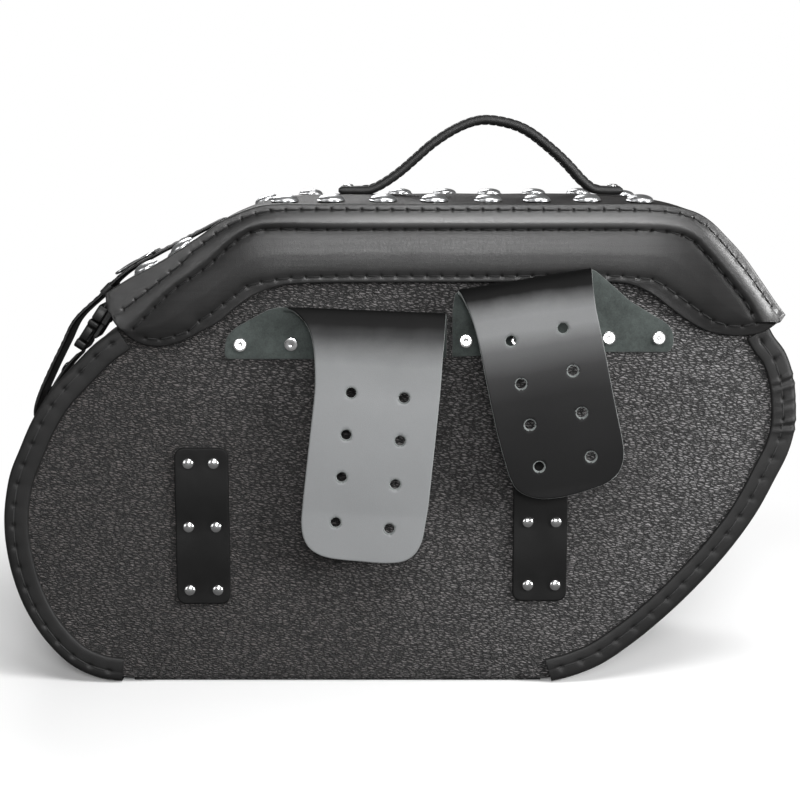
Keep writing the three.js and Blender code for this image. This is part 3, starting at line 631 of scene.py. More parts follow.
# ------------------------------------------------------------------ materials
def pebbled(name, painted_side_light):
    """Pebble grain: stretched irregular cells with creases between them.

    When its flag is on, light is painted on it: darker towards the lower left and lighter towards
    the upper right, where the side lamp falls."""
    s = Shader(name)
    warp = s.noise(scale=330.0, detail=3.0, roughness=0.6, output="Color")
    tilted = s.coords(rotation=(0, math.radians(-9), 0))
    warped = s.add("VectorMath", {0: warp, 1: (0.0026, 0.0026, 0.0017), 2: tilted},
                   operation="MULTIPLY_ADD").outputs[0]
    vector = s.add("Mapping", {"Vector": warped, "Scale": (0.32, 0.8, 1.0)}).outputs[0]
    crease = s.voronoi(scale=780.0, vector=vector)
    centre = s.voronoi(scale=780.0, feature="F1", vector=vector)
    small_crease = s.voronoi(scale=1500.0, vector=vector)
    fine = s.noise(scale=620.0, detail=5.0, roughness=0.7, vector=vector)
    # height: flat-topped cells, a dome on each, smaller creases and fine noise
    cell = s.math("POWER", s.times(crease, 3.2, clamp=True), 0.6)
    dome = s.math("SUBTRACT", 1.0, centre, clamp=True)
    height = s.plus(s.times(cell, 0.5), s.times(dome, 0.22))
    height = s.plus(height, s.times(s.times(small_crease, 3.0, clamp=True), 0.1))
    height = s.plus(height, s.times(s.rescale(fine, 2.6, -0.8, clamp=True), 0.36))
    tint = s.ramp(s.noise(scale=9.0, detail=3.0),
                  [(0.3, (0.82, 0.8, 0.8)), (0.7, (1.12, 1.12, 1.13))])
    # painted light: the panel darkens to the lower left and lightens to the upper right, as the
    # side lamp lights it
    if painted_side_light:
        place = s.add("SeparateXYZ", {"Vector": s.coords()})
        rise_right = s.plus(s.times(place.outputs["X"], 1.5), place.outputs["Z"])
        side_light_grade = s.rescale(rise_right, 1.7, 0.12, clamp=True)
        tint = s.mix(1.0, tint, s.mix(side_light_grade, (0.62, 0.57, 0.55), (1.6, 1.61, 1.61)), "MULTIPLY")
    # painted light: the cell tops are painted light as glints and the creases dark as shade
    colour = s.mix(s.ramp(height, [(0.42, 0.0), (0.66, 0.14), (0.95, 1.0)]),
                   (0.0016, 0.0015, 0.0016), (0.15, 0.146, 0.146))
    colour = s.mix(1.0, colour, tint, "MULTIPLY")
    roughness = s.ramp(height, [(0.4, 0.75), (1.0, 0.3)])
    return s.surface(colour, roughness, s.bump(height, strength=1.0, distance=0.0017),
                     specular=0.62)


def pore_height(s, pores, fine):
    return s.plus(s.times(s.times(pores, 3.0, clamp=True), 0.6), s.times(fine, 0.5))


def smooth_leather(name, dark, light, rough, grain, specular, streak=0.0, shine=0.0):
    """Mottled leather. streak is the share of long streaks in it; grain the bump's strength.

    shine is the specular level added where the mesh's painted-light attribute is 1; there the
    colour is also painted lighter as a highlight, and below 0 the specular level drops as painted
    shade."""
    s = Shader(name)
    mottle = s.noise(scale=22.0, detail=6.0, roughness=0.6)
    streaks = s.noise(scale=1.0, detail=5.0, roughness=0.7, vector=s.coords((14, 60, 420)))
    pores = s.voronoi(scale=1500.0)
    fine = s.noise(scale=3600.0, detail=3.0)
    tone = s.plus(s.times(mottle, 1.0 - streak), s.times(streaks, streak))
    colour = s.mix(s.ramp(tone, [(0.32, 0.0), (0.68, 1.0)]), dark, light)
    roughness = s.rescale(tone, -0.16, rough + 0.08)
    height = s.plus(pore_height(s, pores, fine), s.times(streaks, 1.4 * streak))
    s.surface(colour, roughness, s.bump(height, grain, distance=0.00022), specular)
    if shine:
        # painted light: a painted highlight lightens the colour and raises the specular, and
        # painted shade lowers the specular below 0
        painted_light = s.attribute("painted_light")
        s.set("Specular IOR Level", s.rescale(painted_light, shine, specular))
        s.set("Base Color", s.mix(painted_light, colour, np.multiply(3.2, light)))
    return s.material


def strap_leather(name, tones, rough, specular):
    """Leather with painted light: tone and specular follow the mesh's drop attribute, in mm below
    the fold, painting shade at the fold and a highlight or reflection below it.
    """
    reach = 160.0
    s = Shader(name)
    drop = s.attribute("drop")
    mottle = s.noise(scale=26.0, detail=6.0, roughness=0.6)
    fine = s.noise(scale=1700.0, detail=4.0, roughness=0.7)
    pores = s.voronoi(scale=1500.0)
    blurred = s.plus(drop, s.rescale(mottle, 7.0, -3.5))
    share = s.math("DIVIDE", blurred, reach, clamp=True)
    tone = s.ramp(share, [(p / reach, c) for p, c in tones])
    shade = s.plus(s.times(mottle, 0.16), s.rescale(fine, 0.22, 0.81))
    grey = s.add("CombineXYZ", {0: shade, 1: shade, 2: shade}).outputs[0]
    colour = s.mix(1.0, tone, grey, "MULTIPLY")
    roughness = s.rescale(mottle, -0.12, rough + 0.06)
    level = s.ramp(share, [(p / reach, c) for p, c in specular])
    normal = s.bump(pore_height(s, pores, fine), strength=0.3, distance=0.0002)
    return s.surface(colour, roughness, normal, level)


def suede(name, dark, light):
    s = Shader(name)
    coarse = s.noise(scale=55.0, detail=8.0, roughness=0.72)
    fine = s.noise(scale=900.0, detail=5.0, roughness=0.8)
    nap = s.plus(s.times(coarse, 0.65), s.times(fine, 0.35))
    colour = s.mix(s.ramp(nap, [(0.36, 0.0), (0.64, 1.0)]), dark, light)
    s.set("Sheen Weight", 0.25)
    s.set("Sheen Roughness", 0.5)
    return s.surface(colour, 0.93, s.bump(nap, strength=0.6, distance=0.0006), specular=0.2)


def metal(name, tint, rough):
    s = Shader(name)
    mottle = s.noise(scale=260.0, detail=5.0)
    brushed = s.noise(scale=1.0, detail=3.0, vector=s.coords((900, 2600, 1500)))
    colour = s.mix(s.ramp(mottle, [(0.35, 0.0), (0.7, 1.0)]), np.multiply(0.82, tint), tint)
    roughness = s.rescale(mottle, 0.05, rough - 0.02)
    normal = s.bump(brushed, strength=0.03, distance=0.00001)
    return s.surface(colour, roughness, normal, metallic=1.0)


def plastic(name, dark):
    s = Shader(name)
    fine = s.noise(scale=1800.0, detail=4.0)
    mottle = s.noise(scale=90.0, detail=4.0)
    colour = s.mix(mottle, dark, dark * 1.8)
    roughness = s.rescale(mottle, 0.2, 0.3)
    normal = s.bump(fine, strength=0.25, distance=0.00012)
    return s.surface(colour, roughness, normal, specular=0.28)


def thread(name, dark, light):
    s = Shader(name)
    twist = s.bands(scale=900.0, distortion=2.0, rotation=(0, 0.7, 0.4))
    colour = s.mix(twist, dark, light)
    return s.surface(colour, 0.62, s.bump(twist, strength=0.6, distance=0.0002), specular=0.25)


def woven(name, dark):
    s = Shader(name)
    lengthwise = s.bands(scale=420.0, distortion=0.6, rotation=(0, 0.97, 0))
    crosswise = s.bands(scale=520.0, distortion=0.6, direction="Y")
    weave = s.times(lengthwise, crosswise)
    colour = s.mix(weave, dark, dark * 3)
    return s.surface(colour, 0.75, s.bump(weave, strength=0.7, distance=0.0004))


PEBBLE = pebbled("pebbled_leatherette", painted_side_light=True)
PEBBLE_ENDS = pebbled("pebbled_leatherette_ends", painted_side_light=False)
SKIRT_LEATHER = smooth_leather("smooth_leather_skirt", (0.0085, 0.0083, 0.0083),
                               (0.017, 0.0168, 0.0168), rough=0.37, grain=0.3, specular=0.47,
                               streak=0.55, shine=0.4)
LEATHER = smooth_leather("smooth_leather", (0.0075, 0.0075, 0.0076), (0.015, 0.015, 0.0152),
                         rough=0.44, grain=0.35, specular=0.35)
BINDING_LEATHER = smooth_leather("binding_leather", 0.0055, (0.0115, 0.0112, 0.0112),
                                 rough=0.5, grain=0.4, specular=0.3)
LID_LEATHER = smooth_leather("lid_leather", (0.006, 0.0052, 0.0049), (0.0115, 0.01, 0.0094),
                             rough=0.5, grain=0.5, specular=0.24)
# painted light on one black leather: tones and specular levels at distances below the fold. Left
# strap: painted shade at the fold, then a light grey painted reflection of the front lamp below it.
LEFT_STRAP_PAINTED_LIGHT = strap_leather(
    "strap_leather_grey",
    [(0, 0.006), (9, 0.007), (15, (0.022, 0.0225, 0.023)), (24, (0.088, 0.09, 0.091)),
     (34, (0.152, 0.157, 0.159)), (55, (0.18, 0.185, 0.188)), (160, (0.184, 0.189, 0.192))],
    rough=0.5, specular=[(0, 0.05), (9, 0.06), (26, 0.4)])
# right strap: painted shade at the fold, a painted highlight band 15 to 42 mm below it, and darker
# below that
RIGHT_STRAP_PAINTED_LIGHT = strap_leather(
    "strap_leather_dark",
    [(0, 0.004), (8, 0.005), (15, (0.062, 0.063, 0.064)), (22, (0.138, 0.141, 0.143)),
     (31, (0.138, 0.141, 0.143)), (42, (0.062, 0.063, 0.064)), (58, (0.021, 0.021, 0.0215)),
     (75, (0.009, 0.009, 0.0092)), (160, (0.006, 0.006, 0.0061))],
    rough=0.48,
    specular=[(0, 0.05), (8, 0.06), (16, 0.35), (38, 0.33), (62, 0.16), (160, 0.14)])
HANDLE_LEATHER = smooth_leather("handle_leather", 0.006, 0.014,
                                rough=0.44, grain=0.5, specular=0.4)
SUEDE = suede("flesh_side_leather", (0.02, 0.0245, 0.023), (0.06, 0.071, 0.067))
CUT_EDGE = suede("cut_leather_edge", (0.09, 0.1, 0.098), (0.2, 0.215, 0.21))
PLATE_LEATHER = smooth_leather("loop_plate_leather", 0.0035, 0.007,
                               rough=0.55, grain=0.35, specular=0.16)
CHROME = metal("polished_chrome", (0.82, 0.83, 0.84), rough=0.2)
STUD_CHROME = metal("stud_chrome", (0.82, 0.83, 0.84), rough=0.3)
NICKEL = metal("rivet_nickel", (0.78, 0.78, 0.78), rough=0.22)
PLASTIC = plastic("clip_plastic", 0.004)
THREAD = thread("waxed_thread", 0.004, 0.018)
BINDING_THREAD = thread("binding_thread", 0.01, 0.045)
WEBBING = woven("nylon_webbing", 0.012)
BOARD = suede("stiffener_board", (0.05, 0.04, 0.03), (0.1, 0.085, 0.07))


def stitches(name, body, points, pitch, radius, lift, sink, out=(0, -1, 0), thread=THREAD):
    """Thread between successive holes, arching by lift above them and dipping by sink.

    out is the outward direction, one for all or one each. Wider gaps than 1.7 pitches stay bare."""
    parts = Parts()
    points = np.asarray(points, float)
    out = np.broadcast_to(np.asarray(out, float), points.shape)
    t = np.linspace(0.05, 0.95, 9)
    height = (lift + sink) * np.sin(np.pi * (t - 0.05) / 0.9) ** 0.45 - sink
    thickness = radius * (0.72 + 0.28 * np.sin(np.pi * t))
    for start, end, out_start, out_end in zip(points, points[1:], out, out[1:]):
        if np.linalg.norm(end - start) > pitch * 1.7:
            continue
        line = start + (end - start) * t[:, None]
        outward = out_start + (out_end - out_start) * t[:, None]
        parts.add(*tube(line + outward * height[:, None], thickness, 7, out_start))
    attach(parts.make(name, thread), body, "smooth_leather")


# ------------------------------------------------------------------ the lid's form
LID_CURVE = smooth_path(LID_LINE, 2.0)


def rise(y):
    """Height of the lid's full crown above its back edge."""
    def parabola(v):
        return 4.0 * (1 - ((v - 2) / 92) ** 2)
    return parabola(np.asarray(y, float)) - parabola(BACK - 2.6)


def crown(x):
    """Share of the crown that shows along the lid: low on both slopes, full in the middle."""
    return np.interp(x, [-185, -120, -92, -45, 128, 160, 190, 241],
                     [0.3, 0.25, 0.3, 1.0, 0.95, 0.4, 0.3, 0.3])


def lid_line_z(x):
    return np.interp(x, LID_CURVE[:, 0], LID_CURVE[:, 1])


FRONT_RISE = float(rise(FRONT))


# ------------------------------------------------------------------ panels, bottom and gussets
def panel_outline():
    shell = shift(SHELL, -2.3)
    lower = np.vstack([smooth_path(shell[1:19], 3.0), smooth_path(shell[19:-1], 3.0)])
    lower[:, 1] = np.maximum(lower[:, 1], 0.4)
    top = shift(LID_CURVE, 8.0)
    top = top[(top[:, 0] > lower[0, 0] + 2) & (top[:, 0] < lower[-1, 0] - 2)][::-1]
    return np.vstack([lower, top[::2]])


def panel(node, face, side, thick=4.0):
    """Large face of the bag; side is -1 at the back and 1 at the front."""
    def relief(points, edge):
        sag = 0.45 * wave(points, 46, 0.4 + side) + 0.2 * wave(points, 17, 1.7)
        return sag * np.clip((edge - 6) / 25, 0, 1) + 0.5 * np.clip(edge / 60, 0, 1)

    def place(points, height):
        return at_depth(points, face - side * thick + side * height)

    ob = sheet(node + "_leatherette", PANEL, 3.2, thick, place, PEBBLE, relief,
               edge_radius=2.4, edge_rings=(0.3, 1.0, 2.4))
    attach(ob, "root", "pebbled_shell", node)


def bottom():
    # section: Y, Z
    section = [(-80.8, 0.6), (-80.2, 0.0), (-40, 0.15), (0, 0.2), (40, 0.15), (80.2, 0.0),
               (80.8, 0.6), (80.8, 3.0), (0, 3.0), (-80.8, 3.0)]
    rings = [[(x, y, z) for y, z in section] for x in np.linspace(-174, 92, 60)]
    ob = ring_solid("bottom_leatherette", np.array(rings, float), PEBBLE_ENDS, 45)
    attach(ob, "root", "pebbled_shell", "bottom_panel")


def gusset(name, line, node, half=80.7, thick=3.0):
    """End shell, half as deep as the bag each way, that bulges at mid depth with soft folds."""
    path = smooth_path(line, 4.0)
    share = np.linspace(0, 1, len(path))
    depths = np.linspace(-half, half, 40)
    outward = right_normals(path)
    swell = np.sin(np.pi * np.clip(share * 0.985 + 0.0075, 0, 1)) ** 0.6
    rows = []
    for y in depths:
        middle = 1 - (y / half) ** 2
        folds = wave(np.stack([share * 420, np.full(len(path), y)], axis=1), 30, 0.3)
        bulge = 9.0 * swell * middle + 0.8 * swell * folds * middle ** 0.3
        rows.append(path + outward * bulge[:, None])
    outer = np.stack(rows, axis=1)
    inner = outer - outward[:, None] * thick
    outer[..., 1] = np.maximum(outer[..., 1], 3.3)
    inner[..., 1] = np.maximum(inner[..., 1], 6.2)
    rings = np.concatenate([at_depth(outer, depths), at_depth(inner, depths)[:, ::-1]], axis=1)
    attach(ring_solid(name, rings, PEBBLE_ENDS, 60), "root", "pebbled_shell", node)


PANEL = panel_outline()
panel("back_panel", BACK, -1)
panel("front_panel", FRONT, 1)
bottom()
inner_shell = shift(SHELL, -3.5)
gusset("left_gusset_leatherette",
       np.vstack([[[-166.5, 251]], inner_shell[1:17], [[-178, 3.2], [-168, 3.2]]]), "gusset_left")
gusset("right_gusset_leatherette",
       np.vstack([[[88, 3.2]], inner_shell[21:35], [[226, 237]]]), "gusset_right")

# ------------------------------------------------------------------ bindings
# Section of a binding: distance in from the bag's edge, and height above the panel's face.
# The outer skin's columns at the seam are added to the seam's own distance.
BINDING_START = [(16.0, 0.35), (15.9, 1.4), (15.5, 2.1), (14.6, 2.4), (12.8, 2.6)]
BINDING_SEAM = [(2.4, 2.72), (1.4, 2.7), (0.6, 2.62), (0, 2.56), (-0.6, 2.62), (-1.4, 2.68)]
BINDING_EDGE = [(3.4, 2.6), (2.2, 2.35), (1.2, 1.75), (0.5, 1.0), (0.1, 0.0), (0.0, -2.5),
                (0.0, -5.5), (0.1, -8.0), (0.3, -9.3)]
BINDING_INNER = [(2.0, -9.3), (2.1, -5.0), (2.2, -1.0), (2.3, 0.35), (6.0, 0.35), (10.0, 0.35),
                 (14.0, 0.33)]
BINDING_PITCH = 14.6


def binding(node, points, side, pleats=(), seam=6.6):
    """Stitched strip folded over an edge of the bag. pleats are (distance along, height)."""
    face = BACK if side < 0 else FRONT
    path = smooth_path(points, 1.5)
    along = arc_length(path)
    inward = -right_normals(path)
    hole_at = np.arange(8.0, along[-1] - 4, BINDING_PITCH)
    outer = np.array(BINDING_START + [(seam + d, h) for d, h in BINDING_SEAM] + BINDING_EDGE)
    inset = outer[:, 0]

    dimple = np.zeros((len(path), len(outer)))
    for hole in hole_at:
        for length, width, depth in ((1.3, 0.9, 2.1), (3.0, 4.0, 0.1)):
            dimple += (np.exp(-((along[:, None] - hole) / length) ** 2)
                       * np.exp(-((inset[None] - seam) / width) ** 2) * depth)
    puff = np.zeros(len(path))
    for hole in hole_at[:-1]:
        puff += 0.06 * np.exp(-((along - hole - BINDING_PITCH / 2) / 4.0) ** 2)
    fold = np.zeros((len(path), len(outer)))
    for pleat, amount in pleats:
        for offset, share in ((-3.2, 1.0), (0.0, -1.0), (3.2, 0.9)):
            slanted = (along - pleat - offset)[:, None] + (inset[None] - 7) * 0.25
            fold += (amount * share * np.exp(-(slanted / 1.5) ** 2)
                     * np.exp(-((inset[None] - 5) / 7.0) ** 2))
    wobble = 0.25 * np.sin(along / 13.0 + side) + 0.12 * np.sin(along / 5.1 + 2 * side)

    def column(distance, height, lowest):
        line = path + inward * np.reshape(distance, (-1, 1))
        line[:, 1] = np.maximum(line[:, 1], lowest)
        return at_depth(line, face + side * height)

    columns = []
    for j, (distance, height) in enumerate(outer):
        shifted = distance + wobble * (0.5 if distance > 12 else 0.15) * (distance > 0.2)
        if height <= 1.2:
            shifted = shifted - fold[:, j] * 0.5
        shifted = np.maximum(shifted, 0 if height > 0 else -0.4)
        if height > 0.3:
            swell = puff * np.clip(height / 2, 0, 1)
            height = np.maximum(height - dimple[:, j] + swell + fold[:, j], 0.42)
        columns.append(column(shifted, height, 0.0))
    columns += [column(distance, height, 0.25) for distance, height in BINDING_INNER]
    name = node + "_leather"
    ob = ring_solid(name, np.stack(columns, axis=1), BINDING_LEATHER, 70)
    attach(ob, "root", "smooth_leather", node)

    holes = sample(path + inward * seam, along, hole_at)
    holes[:, 1] = np.maximum(holes[:, 1], 1.2)
    stitches(name + "_stitches", "root", at_depth(holes, face + side * 2.55), BINDING_PITCH,
             radius=0.36, lift=0.24, sink=1.0, out=(0, side, 0), thread=BINDING_THREAD)


LEFT_EDGE = SHELL[2:18]
RIGHT_EDGE = np.vstack([SHELL[20:35], [[232.5, 233.5]]])


def pleat_at(z, amount):
    """A pleat at the height z on the steep part of the right edge."""
    path = smooth_path(RIGHT_EDGE, 1.5)
    miss = np.where(path[:, 0] > 240, np.abs(path[:, 1] - z), 1e9)
    return arc_length(path)[int(np.argmin(miss))], amount


PLEATS = (pleat_at(199.0, 1.3), pleat_at(169.5, 1.1), pleat_at(184.0, 0.4))
binding("back_binding_left", LEFT_EDGE, -1)
binding("back_binding_right", RIGHT_EDGE, -1, pleats=PLEATS, seam=8.8)
binding("front_binding_left", LEFT_EDGE, 1)
binding("front_binding_right", RIGHT_EDGE, 1, pleats=PLEATS[:1])

# ------------------------------------------------------------------ back skirt with its roll
TOP_SEAM, MIDDLE_SEAM, LOWER_SEAM = (smooth_path(r, 1.5) for r in (TOP_ROW, MIDDLE_ROW, LOWER_ROW))
TOP_HOLES = spaced(TOP_SEAM, 9.4, 3)
MIDDLE_HOLES = spaced(MIDDLE_SEAM, 9.6, 2)
LOWER_HOLES = spaced(LOWER_SEAM, 9.4, 2)
SKIRT_HOLES = np.vstack([TOP_HOLES, MIDDLE_HOLES, LOWER_HOLES])
SKIRT = np.vstack([smooth_path(LID_LINE, 2.2), smooth_path(SKIRT_LOW, 2.2)])
PAD = np.vstack([MIDDLE_SEAM, LOWER_SEAM[::-1]])       # between the middle and lower seams
RIM = np.vstack([[TOP_SEAM[0] + (TOP_SEAM[0] - TOP_SEAM[8]) * 3], TOP_SEAM,
                 [TOP_SEAM[-1] + (TOP_SEAM[-1] - TOP_SEAM[-9]) * 3],
                 shift(LID_CURVE, -6.0)[::-1]])        # above the top seam
# The roll's height from the middle seam (0) to the top seam (1): steep, then leaning back.
ROLL_SHARE = [0, 0.08, 0.16, 0.25, 0.34, 0.48, 0.62, 0.76, 0.88, 0.95, 1]
ROLL_HEIGHT = [0, 1.0, 2.0, 2.75, 2.88, 2.6, 2.22, 1.72, 1.1, 0.55, 0]
# bodies, and the start and end of the bend between them, in metres
SKIRT_BEND = ("root", "lid", (0, -0.09, 0.2955), (0, -0.09, 0.3050))


def skirt_zones(points):
    """Masks of the pad, all above it and the rim, and distances to the top and middle seams."""
    pad = inside(points, PAD)
    above = ~pad & (points[:, 1] > np.interp(points[:, 0], MIDDLE_ROW[:, 0], MIDDLE_ROW[:, 1]))
    to_top = distance_to_line(points, TOP_SEAM)
    to_middle = distance_to_line(points, MIDDLE_SEAM)
    return pad, above, inside(points, RIM), to_top, to_middle


def skirt_height(points):
    """Height of the skirt's outer face above the panel's face."""
    x = points[:, 0]
    pad, above, rim, to_top, to_middle = skirt_zones(points)
    to_pad = distance_to_line(points, PAD, True)
    lean = (0.05 * np.minimum(to_middle, 32)
            * np.interp(x, [-150, -95, 145, 192], [0.1, 1, 1, 0.1]))
    padded = (5.0 + lean + 1.7 * (1 - np.exp(-to_pad / 5.0))
              + 0.5 * np.clip(to_pad / 16, 0, 1))
    height = np.where(pad, padded, 4.9 + lean - 0.9 * np.clip(to_pad / 5, 0, 1))
    share = to_middle / np.maximum(to_top + to_middle, 1e-6)
    fullness = (np.clip((to_top + to_middle) / 9.0, 0, 1)
                * np.interp(x, [-185, -125, -80], [0.35, 0.6, 1.0]))
    roll = 5.0 + np.interp(share, ROLL_SHARE, ROLL_HEIGHT) * fullness
    height = np.where(above, roll, height)
    return np.where(rim, 4.9 - 0.9 * np.clip(to_top / 4, 0, 1), height)


def pits_at(points, holes, depth, radius):
    result = np.zeros(len(points))
    for chunk in range(0, len(holes), 40):
        away = np.linalg.norm(points[:, None, :] - holes[None, chunk:chunk + 40], axis=2)
        result = np.maximum(result, (depth * np.exp(-(away / radius) ** 2)).max(1))
    return result


def skirt_relief(points, edge):
    to_seam = np.minimum(np.minimum(distance_to_line(points, TOP_SEAM),
                                    distance_to_line(points, MIDDLE_SEAM)),
                         distance_to_line(points, LOWER_SEAM))
    groove = 0.32 * np.exp(-(to_seam / 1.5) ** 2)
    return (skirt_height(points) - groove - pits_at(points, SKIRT_HOLES, 1.4, 0.6)
            - pits_at(points, SKIRT_HOLES, 0.1, 2.0) + 0.08 * wave(points, 14, 0.9))


def painted_light(points):
    """Painted light: 1 where a highlight is painted along the roll and the right rim, 0 on the
    flat, below 0 where the ends are painted in shade.
    """
    x = points[:, 0]
    _, above, rim, to_top, to_middle = skirt_zones(points)
    share = to_middle / np.maximum(to_top + to_middle, 1e-6)
    ridge = (np.interp(share, [0, 0.1, 0.22, 0.62, 0.85, 1], [0, 0.4, 1, 0.9, 0.3, 0.1])
             * np.interp(x, [-80, -20, 0, 150, 190, 240], [0, 0.9, 1, 1, 0.15, 0.1]))
    right_end = (np.interp(share, [0, 0.5, 0.75, 1], [0, 0.1, 1, 0.9])
                 * np.interp(x, [180, 200], [0, 1]))
    on_rim = np.interp(x, [185, 203], [0.1, 0.9])
    painted_shade_ends = -np.interp(x, [-150, -105, -65, 150, 192], [0.85, 0.6, 0, 0, 0.9])
    return np.where(above & ~rim, np.maximum(ridge, right_end), np.where(rim, on_rim, painted_shade_ends))


def skirt():
    def place(points, height):
        return at_depth(points, BACK - height)

    ob = sheet("rear_skirt_leather", SKIRT, 1.7, 0.0, place, SKIRT_LEATHER,
               skirt_relief, edge_radius=1.0, under=2.75, pits=SKIRT_HOLES, pit_ring=0.85)
    # painted highlight along the roll and painted shade at the ends, kept on the mesh for the
    # skirt's material
    set_attribute(ob.data, "painted_light", painted_light(vertex_places(ob.data)[:, [0, 2]]))
    attach(ob, SKIRT_BEND, "smooth_leather", "rear_skirt", "lid_edge_strip")
    for seam, holes, proud in (("edge", TOP_HOLES, 0.45), ("fold", MIDDLE_HOLES, 0.75),
                               ("lower", LOWER_HOLES, 0.15)):
        points = place(holes, skirt_height(holes) - 0.45 + proud)
        stitches("skirt_stitches_" + seam, SKIRT_BEND, points, 9.6,
                 radius=0.48, lift=0.42, sink=1.1 + proud)


skirt()


# ------------------------------------------------------------------ lid
def lid():
    step, thick = 3.5, 4.8
    low, high = -87.6, 87.3                   # back and front edges, along Y
    groove_in, seam_y = 5, FRONT - 5
    path = smooth_path(LID_LINE, step)
    upward = -right_normals(path)
    y = np.r_[low, -87.5, -87.1, -86.3, -85.2, np.linspace(-83, 83, 44),
              85.2, 86.2, 86.8, 87.2, high]
    edge_drop = np.interp(np.minimum(y - low, high - y), [0, 0.1, 0.5, 1.3, 2.4, 5],
                          [2.6, 1.9, 1.0, 0.4, 0.1, 0.0])
    index = np.arange(len(path))
    from_end = np.minimum(index, len(path) - 1 - index) * step
    end_drop = 2.0 * np.clip(1 - from_end / 5.0, 0, 1) ** 2
    x = path[:, :1]
    ripple = 0.35 * np.sin(x / 31 + y / 23) * np.sin(x / 17 - y / 40)
    grooves = sum(0.55 * np.exp(-((y - at) / 1.1) ** 2) for at in (BACK + groove_in, seam_y))
    offset = -edge_drop - end_drop[:, None] + ripple - grooves
    crest = np.stack([np.broadcast_to(x, offset.shape), path[:, 1:] + rise(y) * crown(x)], axis=-1)
    top = at_depth(crest + upward[:, None] * offset[..., None], y)
    under = at_depth(crest - upward[:, None] * thick, y)[:, ::-1]
    ob = ring_solid("lid_leather_top", np.concatenate([top, under], axis=1), LID_LEATHER, 60)
    attach(ob, "lid", "lid_leather", "lid_panel")

    holes = spaced(path[2:-2], 9.5, 1.0)
    out = at_depth(sample(upward, path[:, 0], holes[:, 0]), 0)
    holes[:, 1] += rise(seam_y) * crown(holes[:, 0]) - 0.6
    stitches("lid_stitches_front", "lid", at_depth(holes, seam_y), 9.5,
             radius=0.5, lift=0.5, sink=0.6, out=out)


def stud_row(end, stations, y):
    """A row of domed studs that lie square to the lid's surface."""
    parts = Parts()
    for x in stations:
        slope_x = (lid_line_z(x + 4) - lid_line_z(x - 4)) / 8
        slope_y = (rise(y + 1) - rise(y - 1)) / 2
        vertices, faces = stud(radius=8.9, height=4.3, segments=48)
        place = (x, y, lid_line_z(x) + rise(y) * crown(x) + 0.3)
        parts.add(stand(vertices, (-slope_x, -slope_y, 1.0), place), faces)
    ob = parts.make(f"lid_stud_domes_{end}", STUD_CHROME, 35)
    attach(ob, "lid", "chrome", f"lid_studs_{end}")


lid()
stud_row("rear", [-160.8, -137.6, -72.6, -43.6, -10.7, 21.5, 55.5, 86.4, 118, 151.5], BACK + 14)
stud_row("front", range(-160, 161, 32), FRONT - 16)

# ------------------------------------------------------------------ front flap
# Lower edge of the flap, right to left: X, Z
FLAP_LOW = [[241, 238], [239, 231], [226, 219], [206, 205], [180, 193], [150, 187], [60, 184],
            [0, 184], [-60, 184], [-110, 188], [-140, 198], [-163, 214], [-179, 232], [-186, 248]]
FLAP_PITCH = 9.5


def front_flap():
    top = smooth_path(LID_LINE, 2.6)
    top[:, 1] += FRONT_RISE
    outline = np.vstack([top, smooth_path(FLAP_LOW, 2.6)])
    lower_seam = shift(smooth_path(FLAP_LOW, 2.0), 6.5)[4:-4]
    upper_seam = shift(smooth_path(LID_LINE + np.array([0, FRONT_RISE]), 2.0), 13.0)[8:-8]
    rows = {"lower": spaced(lower_seam, FLAP_PITCH, 2), "upper": spaced(upper_seam, FLAP_PITCH, 2)}
    holes = np.vstack(list(rows.values()))

    def relief(points, edge):
        to_seam = np.minimum(distance_to_line(points, lower_seam),
                             distance_to_line(points, upper_seam))
        puff = 1.4 * (1 - np.exp(-to_seam / 6.0)) * np.clip(edge / 5, 0.2, 1)
        near_top = np.clip(1 - distance_to_line(points, top) / 10.0, 0, 1)
        return (puff - 3.2 * near_top ** 2.2 - 0.4 * np.exp(-(to_seam / 1.3) ** 2)
                - pits_at(points, holes, 1.4, 0.75) - pits_at(points, holes, 0.3, 2.4)
                + 0.25 * wave(points, 30, 0.2))

    def place(points, height):
        return at_depth(points, FRONT + 3.0 + height)

    ob = sheet("front_flap_leather", outline, 3.0, 3.4, place, SKIRT_LEATHER,
               relief, edge_radius=1.0, pits=holes, pit_ring=1.15)
    attach(ob, "lid", "smooth_leather", "front_flap")
    for row, points in rows.items():
        stitches("flap_stitches_" + row, "lid", at_depth(points, FRONT + 6.0), FLAP_PITCH,
                 radius=0.5, lift=0.55, sink=0.8, out=(0, 1, 0))


front_flap()


